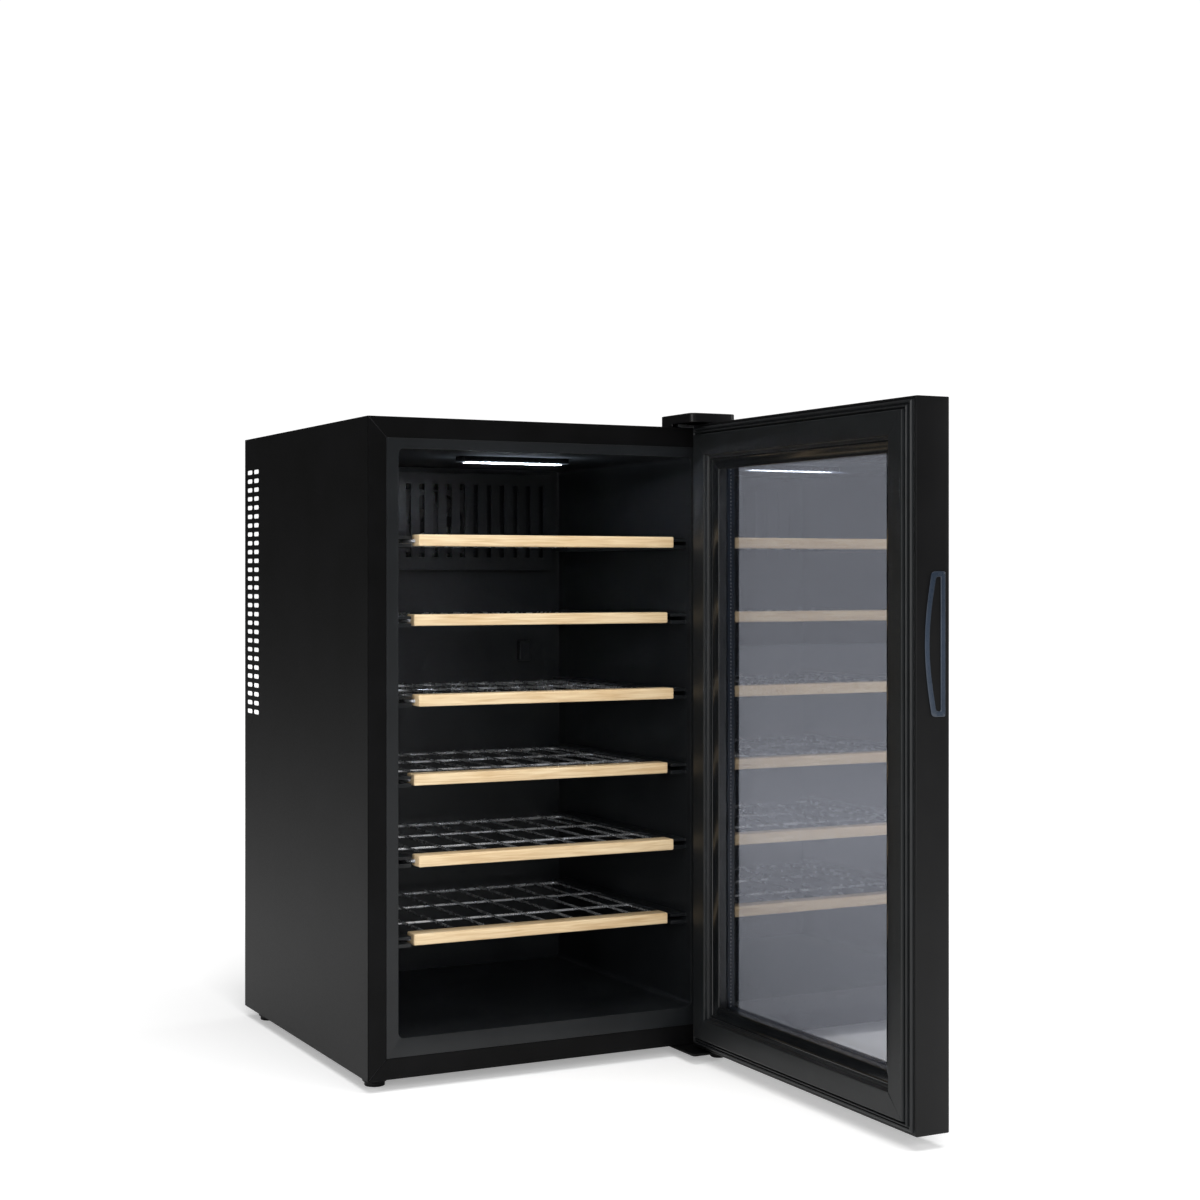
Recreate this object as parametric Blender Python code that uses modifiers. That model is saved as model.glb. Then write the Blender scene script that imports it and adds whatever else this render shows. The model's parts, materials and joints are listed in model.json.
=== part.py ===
"""Free-standing wine cooler: foamed cabinet, glass door, six sliding shelves, thermoelectric unit.

Metres, +Z up, +X to the right as seen from the front, +Y towards the back.
The floor is at Z = 0, and the origin is under the middle of the box that holds the cooler
with its door open at a right angle.
"""
import math

import bmesh
import bpy
from mathutils import Matrix, Vector

# ------------------------------------------------------------------ driving sizes
GAP = 0.0003                 # left between pieces that touch

CABINET_WIDTH = 0.430
CABINET_DEPTH = 0.438
CABINET_HEIGHT = 0.710
SHEET = 0.0008               # painted steel of the outer panels
SIDE_FLANGE = 0.021          # front flange of the side panels
END_FLANGE = 0.0225          # front flange of the top and bottom panels

LINER_WALL = 0.0015
CAVITY_SIDE = 0.035          # cabinet side to cavity wall
CAVITY_BOTTOM = 0.043        # cabinet underside to cavity floor
CAVITY_TOP = 0.034           # cabinet top to cavity ceiling
CAVITY_DEPTH = 0.350
CAVITY_CORNER = 0.006
REAR_SPACE = 0.057           # open space behind the back panel, between the side panels

VENT_SLOT = (0.020, 0.006)   # length along the depth, height
VENT_ROWS = 28
VENT_PITCH = 0.011
VENT_TOP = 0.042             # cabinet top to the first row's centre line
VENT_COLUMNS = (0.020, 0.046)  # rear edge to the columns' centre lines

DOOR_THICKNESS = 0.040
DOOR_LIFT = 0.002            # door's bottom edge above the cabinet's underside
DOOR_STANDOFF = 0.009        # cabinet front to the door's inner face, when shut
DOOR_REST_ANGLE = 90.0       # degrees that the door stands open in this model
PIVOT_INSET = 0.0172         # hinge axis from the door's end and from its outer face
FRAME_WALL = 0.003
FRAME_LIP = 0.048            # width of the frame in front of the glass
FRAME_LIP_DEPTH = 0.009
GLASS_EDGE = 0.038           # door's edge to the edge of the panes
GLASS_THICKNESS = 0.004
GLASS_SPACE = 0.0098         # between the panes
BEZEL_EDGE = 0.053           # door's edge to the inner frame's window
GASKET_HEIGHT = 0.0079
GASKET_FLANGE = 0.040        # door's edge to the gasket's inner edge

GRIP_HEIGHT = 0.140          # finger grip in the door's free end
GRIP_CENTRE = 0.4715         # above the door's bottom edge
GRIP_FRONT = 0.006           # door's outer face to the grip's straight side
GRIP_WIDTH = (0.016, 0.024)  # at its ends and at its middle
GRIP_DEPTH = 0.020
GRIP_PROUD = 0.0013          # flange of the grip beyond the door's end

SHELVES = 6
SHELF_TOP = 0.584            # cabinet underside to the first board's top
SHELF_PITCH = 0.0866
SHELF_DRAWN = 0.0143         # how far every other shelf stands forward in this model
SHELF_SETBACK = 0.0127       # cabinet front to a board's face, pushed in
BOARD_LENGTH = 0.3136
BOARD_HEIGHT = 0.0125
BOARD_DEPTH = 0.022
RACK_WIDTH = 0.331
RACK_LENGTH = 0.300
RIM_WIRE = 0.004             # diameters
BAR_WIRE = 0.003
BARS = 8                     # wires from front to back, in pairs that cradle a bottle
CROSS_BARS = 2

LED_LENGTH = 0.122
LED_SETBACK = 0.100          # cabinet front to the lamp
LED_DROP = 0.007

DUCT_SETBACK = 0.333         # cabinet front to the face of the cold-air cover
DUCT_WIDTH = 0.322
DUCT_HEIGHT = 0.122
DUCT_WALL = 0.002
DUCT_SLOTS = 17
DUCT_SLOT_PITCH = 0.0183
DUCT_SLOT_WIDTH = 0.0063

STACK_HEIGHT = 0.608         # cabinet underside to the cooling unit's centre
COLD_FAN = (0.080, 0.010)    # side and thickness
HOT_FAN = (0.092, 0.020)
COLD_SINK = (0.100, 0.025)   # side and thickness
HOT_SINK = (0.120, 0.025)
PELTIER = (0.040, 0.0038)

FOOT_HEIGHT = 0.013
FOOT_RADIUS = 0.0135
FOOT_SIDE = 0.0215           # cabinet side to a foot's axis
FOOT_FRONT = 0.0365          # cabinet front to the front feet's axes
FOOT_REAR = 0.033            # cabinet back to the rear feet's axes
STUD_RADIUS = 0.003
STUD_LENGTH = 0.012

PIN_RADIUS = 0.004
PIN_REACH = 0.016            # how far a hinge pin stands in the door
BUSH_RADIUS = 0.0065
BUSH_FLANGE = (0.009, 0.0017)
HINGE_PLATE = 0.0025
HINGE_REACH = 0.0132          # hinge axis to the front of the top cover and of the lower plate
HINGE_SPAN = (0.056, 0.003)   # cabinet side to the far and near ends of the upper bracket
OVERCUT = 0.01               # how far a cutter reaches past the face it opens
LED_RIM = (0.006, 0.012)     # housing beyond the lens's ends, and half the housing's width
LENS_HALF = 0.006            # half the width of the lamp's lens
FAN_WALL = 0.003             # thinnest part of a fan frame round its bore
FAN_ARM = 0.03               # half the width of a fan's arm, as a share of its side
BLADE_CHORD = 0.18           # depth of a fan blade, as a share of the fan's side
BLADE_PITCH = math.radians(50)  # steepest a blade is turned
GUARD_RIM = 0.012            # fan guard beyond the edge of the hot heat sink
GUARD_PITCH = 0.009
GUARD_SLOT = (0.0045, 0.040)  # width and half height of each slot
SENSOR_PLACE = (0.120, 0.430)  # left and low edge, the second above the base
SENSOR_SIZE = (0.016, 0.009, 0.026)
CONTROL_BOX = (0.180, 0.040, 0.120)
CONTROL_BOX_BASE = 0.090     # its underside above the cabinet's base
CONTROL_WALL = 0.002
GLAND_X = 0.060
GLAND_RADIUS = 0.0055
TOUCH_PANEL = (0.110, 0.027, 0.009)  # width, then low and high edge below the door's top
COVER_HEIGHT = 0.0135        # of the top hinge's cover above the cabinet
COVER_WALL = 0.002
COVER_FOOT = 0.030           # cabinet front to the cover's rear
BRACKET_REACH = 0.0075       # hinge axis to the upper bracket's front edge
BRACKET_STEP = 0.001         # upper bracket's step in front of the cabinet
BRACKET_FOOT = (0.026, 0.020)  # cabinet front to the rear of the upper and the lower bracket
LOWER_PLATE = 0.003          # thickness of the lower bracket
SCREW_SPOTS = (0.016, 0.042)  # from the span's far end to the bracket's screws
SCREW_SETBACK = 0.016        # cabinet front to the screws
SCREW_RADIUS = 0.0023
BOSS_RADIUS = 0.010          # round foot of the lower pin, below its bracket

# ------------------------------------------------------------------ places worked out from them
DOOR_WIDTH = CABINET_WIDTH
DOOR_HEIGHT = CABINET_HEIGHT
DOOR_REACH = DOOR_WIDTH - PIVOT_INSET + DOOR_STANDOFF + DOOR_THICKNESS - PIVOT_INSET
FRONT = (DOOR_REACH + GRIP_PROUD - CABINET_DEPTH) / 2
BACK = FRONT + CABINET_DEPTH
LEFT, RIGHT = -CABINET_WIDTH / 2, CABINET_WIDTH / 2
BASE = FOOT_HEIGHT
TOP = BASE + CABINET_HEIGHT
BACK_PANEL = BACK - REAR_SPACE
CAVITY_LOW = Vector((LEFT + CAVITY_SIDE, FRONT, BASE + CAVITY_BOTTOM))
CAVITY_HIGH = Vector((RIGHT - CAVITY_SIDE, FRONT + CAVITY_DEPTH, TOP - CAVITY_TOP))
PIVOT = Vector((RIGHT - PIVOT_INSET, FRONT - DOOR_STANDOFF - DOOR_THICKNESS + PIVOT_INSET, 0))
DOOR_BASE = BASE + DOOR_LIFT
DOOR_TOP = DOOR_BASE + DOOR_HEIGHT
STACK = Vector((0, 0, BASE + STACK_HEIGHT))
HINGE_SPACE = BUSH_FLANGE[1] + 2 * GAP

# ------------------------------------------------------------------ scene and materials
for leftover in list(bpy.data.objects):
    bpy.data.objects.remove(leftover, do_unlink=True)


def collection(name):
    """A new collection in the scene."""
    made = bpy.data.collections.new(name)
    bpy.context.scene.collection.children.link(made)
    return made


PARTS = collection("wine_cooler")
CUTTERS = collection("cutters")


def material(name, colour, roughness, metallic=0.0, transmission=0.0):
    """A Principled material of one colour."""
    made = bpy.data.materials.new(name)
    made.use_nodes = True
    shader = made.node_tree.nodes["Principled BSDF"]
    shader.inputs["Base Color"].default_value = (*colour, 1.0)
    shader.inputs["Roughness"].default_value = roughness
    shader.inputs["Metallic"].default_value = metallic
    shader.inputs["Transmission Weight"].default_value = transmission
    made.diffuse_color = (*colour, 1.0)
    return made


BLACK_STEEL = material("black_painted_steel", (0.010, 0.010, 0.011), 0.42)
GALVANISED = material("galvanised_steel", (0.42, 0.43, 0.44), 0.45, metallic=1.0)
LINER_PLASTIC = material("grey_black_liner_plastic", (0.030, 0.033, 0.036), 0.38)
BLACK_PLASTIC = material("black_plastic", (0.014, 0.014, 0.015), 0.45)
BLUE_BLACK_PLASTIC = material("blue_black_plastic", (0.022, 0.032, 0.046), 0.35)
FOAM = material("insulation_foam", (0.80, 0.72, 0.48), 0.90)
GLASS = material("smoked_glass", (0.05, 0.05, 0.055), 0.03, transmission=0.9)
GASKET_RUBBER = material("gasket_rubber", (0.012, 0.013, 0.014), 0.60)
ALUMINIUM = material("aluminium", (0.62, 0.63, 0.64), 0.38, metallic=1.0)
BEECH = material("beech", (0.76, 0.54, 0.28), 0.50)
WIRE = material("grey_coated_wire", (0.20, 0.20, 0.21), 0.35, metallic=0.8)
LIGHT = material("led_diffuser", (0.90, 0.94, 1.00), 0.30)
CERAMIC = material("white_ceramic", (0.85, 0.85, 0.82), 0.50)
BOARD_GREEN = material("circuit_board", (0.02, 0.12, 0.05), 0.50)
PIN_STEEL = material("zinc_plated_steel", (0.55, 0.56, 0.57), 0.30, metallic=1.0)
ACETAL = material("acetal", (0.60, 0.60, 0.58), 0.40)


# ------------------------------------------------------------------ modelling helpers
def finish(bm, name, mat, group=PARTS):
    """Turn a bmesh into a named object."""
    bmesh.ops.recalc_face_normals(bm, faces=bm.faces)
    mesh = bpy.data.meshes.new(name)
    bm.to_mesh(mesh)
    bm.free()
    mesh.materials.append(mat)
    made = bpy.data.objects.new(name, mesh)
    group.objects.link(made)
    return made


def add_box(bm, low, high):
    """Add a box between two corners, and return its vertices."""
    low, high = Vector(low), Vector(high)
    verts = bmesh.ops.create_cube(bm, size=1.0)["verts"]
    bmesh.ops.scale(bm, vec=high - low, verts=verts)
    bmesh.ops.translate(bm, vec=(low + high) / 2, verts=verts)
    return verts


def add_rod(bm, start, end, radius, sides):
    """Add a straight rod between two points, with a flat side up."""
    start, end = Vector(start), Vector(end)
    turn = (end - start).to_track_quat("Z", "Y").to_matrix().to_4x4()
    spin = Matrix.Rotation(math.pi / sides, 4, "Z")
    matrix = Matrix.Translation((start + end) / 2) @ turn @ spin
    return bmesh.ops.create_cone(
        bm, cap_ends=True, segments=sides, radius1=radius, radius2=radius,
        depth=(end - start).length, matrix=matrix)["verts"]


def box(name, low, high, mat, radius=0.0, along=None, segments=3, group=PARTS):
    """A box between two corners, with its edges rounded: all, or those along one axis."""
    bm = bmesh.new()
    add_box(bm, low, high)
    if radius:
        edges = [e for e in bm.edges
                 if along is None or abs((e.verts[1].co - e.verts[0].co).normalized()["XYZ".index(along)]) > 0.9]
        bmesh.ops.bevel(bm, geom=edges, offset=radius, offset_type="OFFSET", segments=segments,
                        profile=0.5, affect="EDGES", clamp_overlap=True)
    return finish(bm, name, mat, group)


def boxes(name, corners, mat, group=CUTTERS):
    """Several boxes in one object, for cutting or joining."""
    bm = bmesh.new()
    for low, high in corners:
        add_box(bm, low, high)
    return finish(bm, name, mat, group)


def prism(name, outline, axis, low, high, mat, group=PARTS):
    """A flat outline in the two other axes, drawn out along an axis."""
    others = {"X": (1, 2), "Y": (0, 2), "Z": (0, 1)}[axis]
    along = "XYZ".index(axis)
    bm = bmesh.new()
    verts = []
    for point in outline:
        place = Vector()
        place[others[0]], place[others[1]], place[along] = point[0], point[1], low
        verts.append(bm.verts.new(place))
    face = bm.faces.new(verts)
    drawn = bmesh.ops.extrude_face_region(bm, geom=[face])["geom"]
    shift = Vector()
    shift[along] = high - low
    bmesh.ops.translate(bm, vec=shift, verts=[g for g in drawn if isinstance(g, bmesh.types.BMVert)])
    return finish(bm, name, mat, group)


def turned(name, profile, mat, place=(0, 0, 0), closed=False, steps=24, group=PARTS):
    """A turned piece about +Z: (radius, height) points down its outer side, or right round a sleeve."""
    bm = bmesh.new()
    verts = [bm.verts.new((radius, 0, height)) for radius, height in profile]
    for first, second in zip(verts, verts[1:] + verts[:1] if closed else verts[1:]):
        bm.edges.new((first, second))
    mesh = bpy.data.meshes.new(name)
    bm.to_mesh(mesh)
    bm.free()
    mesh.materials.append(mat)
    made = bpy.data.objects.new(name, mesh)
    group.objects.link(made)
    made.location = place
    screw = made.modifiers.new("turn", "SCREW")
    screw.angle = 2 * math.pi
    screw.steps = screw.render_steps = steps
    screw.use_merge_vertices = True
    screw.merge_threshold = 0.00001
    return made


def add_ring(bm, width, height, section, matrix):
    """Add a mitred frame: a section of (inset from the edge, depth) lofted round a rectangle.

    The rectangle is centred in the local XZ plane, and depth runs along +Y."""
    corners = []
    for across, up in ((-1, -1), (1, -1), (1, 1), (-1, 1)):
        corners.append([bm.verts.new(matrix @ Vector((across * (width / 2 - inset), depth, up * (height / 2 - inset))))
                        for inset, depth in section])
    count = len(section)
    for here, there in zip(corners, corners[1:] + corners[:1]):
        for i in range(count):
            j = (i + 1) % count
            bm.faces.new((here[i], here[j], there[j], there[i]))


def combine(target, tool, operation, crossing=False):
    """Cut a tool from a piece, or join it on."""
    tool.hide_render = True
    tool.display_type = "WIRE"
    change = target.modifiers.new(operation.lower(), "BOOLEAN")
    change.operation = operation
    change.solver = "EXACT"
    change.use_self = crossing
    change.object = tool
    return target


def cut(target, tool):
    """Cut a tool out of a piece."""
    return combine(target, tool, "DIFFERENCE")


def join(target, tool, crossing=False):
    """Join a tool on to a piece."""
    return combine(target, tool, "UNION", crossing)


def between(low, high, grow=0.0):
    """The two corners of a box, grown by an amount on every side."""
    more = Vector((grow, grow, grow))
    return Vector(low) - more, Vector(high) + more


# ------------------------------------------------------------------ cabinet
def side_panel(name, side):
    """A steel side with a mitred front flange and two columns of vent slots; side is -1 or 1."""
    edge = side * CABINET_WIDTH / 2

    def across(distance):
        return edge - side * distance

    low_x, high_x = sorted((edge, across(SHEET)))
    panel = box(name, (low_x, FRONT, BASE), (high_x, BACK, TOP), BLACK_STEEL)
    flange = prism(name + "_flange",
                   [(edge, BASE), (edge, TOP), (across(SIDE_FLANGE), TOP - END_FLANGE),
                    (across(SIDE_FLANGE), BASE + END_FLANGE)],
                   "Y", FRONT, FRONT + SHEET, BLACK_STEEL, CUTTERS)
    join(panel, flange)
    slots = []
    for column in VENT_COLUMNS:
        for row in range(VENT_ROWS):
            y = BACK - column
            z = TOP - VENT_TOP - row * VENT_PITCH
            slots.append(((edge - 0.005, y - VENT_SLOT[0] / 2, z - VENT_SLOT[1] / 2),
                          (edge + 0.005, y + VENT_SLOT[0] / 2, z + VENT_SLOT[1] / 2)))
    return cut(panel, boxes(name + "_slots", slots, BLACK_STEEL))


def end_panel(name, end):
    """The steel top (end 1) or bottom (end -1), between the sides, with a mitred front flange."""
    edge = TOP if end > 0 else BASE
    clear = SHEET + GAP
    low_z, high_z = sorted((edge, edge - end * SHEET))
    panel = box(name, (LEFT + clear, FRONT, low_z), (RIGHT - clear, BACK, high_z), BLACK_STEEL)
    tip = edge - end * END_FLANGE
    flange = prism(name + "_flange",
                   [(LEFT + clear, edge), (RIGHT - clear, edge), (RIGHT - clear - SIDE_FLANGE, tip),
                    (LEFT + clear + SIDE_FLANGE, tip)],
                   "Y", FRONT, FRONT + SHEET, BLACK_STEEL, CUTTERS)
    return join(panel, flange)


def stack_box(size, low_y, high_y, grow=0.0):
    """A square box on the cooling unit's axis, between two distances from the cabinet's front."""
    half = size / 2 + grow
    return (-half, FRONT + low_y, STACK.z - half), (half, FRONT + high_y, STACK.z + half)


SINK_FRONT = DUCT_SETBACK + DUCT_WALL + GAP + COLD_FAN[1] + GAP
SINK_BACK = SINK_FRONT + COLD_SINK[1]
PELTIER_FRONT = CABINET_DEPTH - REAR_SPACE + SHEET + 3 * GAP
HOT_SINK_FRONT = PELTIER_FRONT + PELTIER[1] + GAP
HOT_FAN_FRONT = HOT_SINK_FRONT + HOT_SINK[1] + GAP
FEET = [(x, y) for y in (FRONT + FOOT_FRONT, BACK - FOOT_REAR) for x in (LEFT + FOOT_SIDE, RIGHT - FOOT_SIDE)]


def shelf_level(index):
    """The height of a shelf's rim wire; its top bars and board are set from it."""
    return BASE + SHELF_TOP - index * SHELF_PITCH - BOARD_HEIGHT / 2 - GROOVE_RISE


BAR_LIFT = 0.7 * (RIM_WIRE + BAR_WIRE) / 2          # bars sunk into the rim they are welded to
GROOVE_LOW = -RIM_WIRE / 2 - GAP
GROOVE_HIGH = BAR_LIFT + BAR_WIRE / 2 + GAP
GROOVE_RISE = (GROOVE_LOW + GROOVE_HIGH) / 2         # board's centre above the rim's


def liner():
    """The moulded liner: an open box with a front flange, a window at the back and shelf rails."""
    wall = Vector((LINER_WALL,) * 3)
    low, high = CAVITY_LOW - wall, CAVITY_HIGH + wall
    low.y = FRONT
    made = box("inner_liner", low, high, LINER_PLASTIC)
    flange_low = (LEFT + SIDE_FLANGE + GAP, FRONT, BASE + END_FLANGE + GAP)
    flange_high = (RIGHT - SIDE_FLANGE - GAP, FRONT + LINER_WALL, TOP - END_FLANGE - GAP)
    join(made, box("inner_liner_flange", flange_low, flange_high, LINER_PLASTIC, group=CUTTERS))
    hollow_low = (CAVITY_LOW.x, FRONT - OVERCUT, CAVITY_LOW.z)
    cut(made, box("inner_liner_hollow", hollow_low, CAVITY_HIGH, LINER_PLASTIC, CAVITY_CORNER, "Y", 4, CUTTERS))
    window = stack_box(COLD_SINK[0], CAVITY_DEPTH - 0.005, CAVITY_DEPTH + 0.005, GAP)
    cut(made, boxes("inner_liner_window", [window], LINER_PLASTIC))
    rails = []
    for index in range(SHELVES):
        level = shelf_level(index)
        for side in (-1, 1):
            wall_x = side * (CAVITY_HIGH.x + LINER_WALL / 2)
            lip_x = side * (RACK_WIDTH / 2 - RIM_WIRE - 0.001)
            low_x, high_x = sorted((wall_x, lip_x))
            for bottom, height in ((level + GROOVE_LOW - 0.004, 0.004), (level + RIM_WIRE / 2 + GAP, 0.003)):
                rails.append(((low_x, FRONT + 0.012, bottom), (high_x, FRONT + DUCT_SETBACK - 0.006, bottom + height)))
    return join(made, boxes("inner_liner_rails", rails, LINER_PLASTIC))


def foam():
    """The foam between the liner and the panels, with a stepped window for the cold block."""
    clear = SHEET + GAP
    skin = LINER_WALL + GAP
    made = box("insulation_foam", (LEFT + clear, FRONT + skin, BASE + clear),
               (RIGHT - clear, BACK_PANEL - GAP, TOP - clear), FOAM)
    hollow = ((CAVITY_LOW.x - skin, FRONT - OVERCUT, CAVITY_LOW.z - skin),
              (CAVITY_HIGH.x + skin, CAVITY_HIGH.y + skin, CAVITY_HIGH.z + skin))
    cut(made, boxes("insulation_foam_hollow", [hollow], FOAM))
    cut(made, boxes("insulation_foam_sink", [stack_box(COLD_SINK[0], CAVITY_DEPTH - 0.005, SINK_BACK + GAP, GAP)], FOAM))
    through = stack_box(PELTIER[0], SINK_BACK - 0.002, CABINET_DEPTH, GAP)
    cut(made, boxes("insulation_foam_window", [through], FOAM))
    sockets = [((x - 0.005, y - 0.005, BASE - 0.005), (x + 0.005, y + 0.005, BASE + STUD_LENGTH + 0.001))
               for x, y in FEET]
    return cut(made, boxes("insulation_foam_sockets", sockets, FOAM))


def foot(name, x, y):
    """A round foot with its stud."""
    top = BASE - GAP
    return turned(name, [(0, BASE + STUD_LENGTH), (STUD_RADIUS, BASE + STUD_LENGTH), (STUD_RADIUS, top),
                         (FOOT_RADIUS, top), (FOOT_RADIUS, 0.006), (0.012, 0.004), (0.012, 0.0008),
                         (0.0112, 0), (0, 0)], BLACK_PLASTIC, (x, y, 0))


def cabinet():
    """The steel panels, liner, foam, lamp and feet."""
    side_panel("left_side_panel", -1)
    side_panel("right_side_panel", 1)
    end_panel("top_panel", 1)
    bottom = end_panel("bottom_panel", -1)
    for number, (x, y) in enumerate(FEET):
        hole = add_hole(f"bottom_panel_hole_{number}", (x, y, BASE), "Z", STUD_RADIUS + GAP)
        cut(bottom, hole)
    clear = SHEET + GAP
    back = box("back_panel", (LEFT + clear, BACK_PANEL, BASE + clear), (RIGHT - clear, BACK_PANEL + SHEET, TOP - clear),
               BLACK_STEEL)
    cut(back, boxes("back_panel_window", [stack_box(PELTIER[0], SINK_BACK, CABINET_DEPTH, GAP)], BLACK_STEEL))
    liner()
    foam()
    for name, (x, y) in zip(("front_left_foot", "front_right_foot", "rear_left_foot", "rear_right_foot"), FEET):
        foot(name, x, y)
    lamp_y = FRONT + LED_SETBACK
    ceiling = CAVITY_HIGH.z - GAP
    housing = box("led_housing", (-LED_LENGTH / 2 - LED_RIM[0], lamp_y - LED_RIM[1], ceiling - LED_DROP + 0.001),
                  (LED_LENGTH / 2 + LED_RIM[0], lamp_y + LED_RIM[1], ceiling), LINER_PLASTIC, 0.001, "Z", 2)
    lens_low = (-LED_LENGTH / 2, lamp_y - LENS_HALF, ceiling - LED_DROP)
    lens_high = (LED_LENGTH / 2, lamp_y + LENS_HALF, ceiling - 0.002)
    cut(housing, boxes("led_housing_seat", [between(lens_low, lens_high, GAP)], LINER_PLASTIC))
    box("led_lens", lens_low, lens_high, LIGHT, 0.001, "Z", 2)


def add_hole(name, centre, axis, radius, length=0.02, sides=16):
    """A round cutter centred on a point."""
    half = Vector()
    half["XYZ".index(axis)] = length / 2
    bm = bmesh.new()
    add_rod(bm, Vector(centre) - half, Vector(centre) + half, radius, sides)
    return finish(bm, name, BLACK_STEEL, CUTTERS)


# ------------------------------------------------------------------ cooling unit
def heat_sink(name, side, low_y, thickness, base, fins, fins_forward):
    """A finned aluminium sink: one comb outline drawn out upwards."""
    half = side / 2
    pitch = side / (fins - 0.5)
    plate, tip = (low_y + thickness - base, low_y) if fins_forward else (low_y + base, low_y + thickness)
    back = low_y + thickness if fins_forward else low_y
    outline = [(-half, FRONT + back)]
    for fin in range(fins):
        start = -half + fin * pitch
        outline += [(start, FRONT + tip), (start + pitch / 2, FRONT + tip)]
        if fin < fins - 1:
            outline += [(start + pitch / 2, FRONT + plate), (start + pitch, FRONT + plate)]
    outline.append((half, FRONT + back))
    return prism(name, outline, "Z", STACK.z - half, STACK.z + half, ALUMINIUM)


def fan(name, size, front):
    """A square fan frame and its rotor, blowing along +Y; the rotor's origin is on its axis."""
    side, thickness = size
    bore = side / 2 - FAN_WALL
    hub = side * 0.2
    mount = 0.002
    place = Vector((0, FRONT + front, STACK.z))
    frame = box(name + "_frame", (-side / 2, 0, -side / 2), (side / 2, thickness, side / 2), BLACK_PLASTIC,
                0.004, "Y", 2)
    cut(frame, add_hole(name + "_bore", (0, thickness / 2, 0), "Y", bore, thickness * 2, 32))
    bm = bmesh.new()
    add_rod(bm, (0, thickness - mount, 0), (0, thickness, 0), hub, 24)
    motor = finish(bm, name + "_motor", BLACK_PLASTIC, CUTTERS)
    reach = side / 2 - 0.001
    arm = side * FAN_ARM
    arms = [((-reach, thickness - mount * 0.9, -arm), (reach, thickness - mount * 0.1, arm))]
    upright = [((-arm, thickness - mount * 0.8, -reach), (arm, thickness - mount * 0.2, reach))]
    join(frame, boxes(name + "_arms", arms, BLACK_PLASTIC))
    join(frame, boxes(name + "_uprights", upright, BLACK_PLASTIC))
    join(frame, motor)
    cut(frame, add_hole(name + "_bearing", (0, thickness, 0), "Y", 0.0018, 0.01, 12))
    rear = thickness - mount - GAP
    rotor = turned(name + "_rotor", [(0, rear + 0.0015), (0.0015, rear + 0.0015), (0.0015, rear), (hub, rear),
                                     (hub, 0.001), (hub - 0.001, GAP), (0, GAP)], BLACK_PLASTIC, closed=False)
    bm = bmesh.new()
    for blade in range(7):
        verts = add_box(bm, (hub - 0.002, -0.0005, -side * BLADE_CHORD / 2), (bore - 0.0015, 0.0005, side * BLADE_CHORD / 2))
        pitch = min(BLADE_PITCH, math.asin(min(0.9, (rear - 0.002) / (side * BLADE_CHORD))))
        tilt = Matrix.Rotation(math.pi / 2 - pitch, 4, "X")
        spin = Matrix.Rotation(blade * 2 * math.pi / 7, 4, "Z")
        bmesh.ops.transform(bm, matrix=spin @ Matrix.Translation((0, 0, rear / 2)) @ tilt, verts=verts)
    blades = finish(bm, name + "_blades", BLACK_PLASTIC, CUTTERS)
    join(rotor, blades)
    for piece in (rotor, blades):
        piece.rotation_euler = (-math.pi / 2, 0, 0)
        piece.location = place
    for piece in [o for o in bpy.data.objects if o.name.startswith(name + "_")]:
        if piece not in (rotor, blades):
            piece.location = place


def grille(name, low, high, wall, slots, facing, mat):
    """A square-edged cover, open on one side in Y, with upright slots through its face."""
    made = box(name, low, high, mat)
    low, high = Vector(low), Vector(high)
    inner_low, inner_high = low + Vector((wall, wall, wall)), high - Vector((wall, -OVERCUT, wall))
    if facing > 0:
        inner_low.y, inner_high.y = low.y - OVERCUT, high.y - wall
    cut(made, boxes(name + "_hollow", [(inner_low, inner_high)], mat))
    face = high.y if facing > 0 else low.y
    openings = [((x - width / 2, face - wall - 0.002, bottom), (x + width / 2, face + wall + 0.002, top))
                for x, width, bottom, top in slots]
    return cut(made, boxes(name + "_slots", openings, mat))


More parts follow.
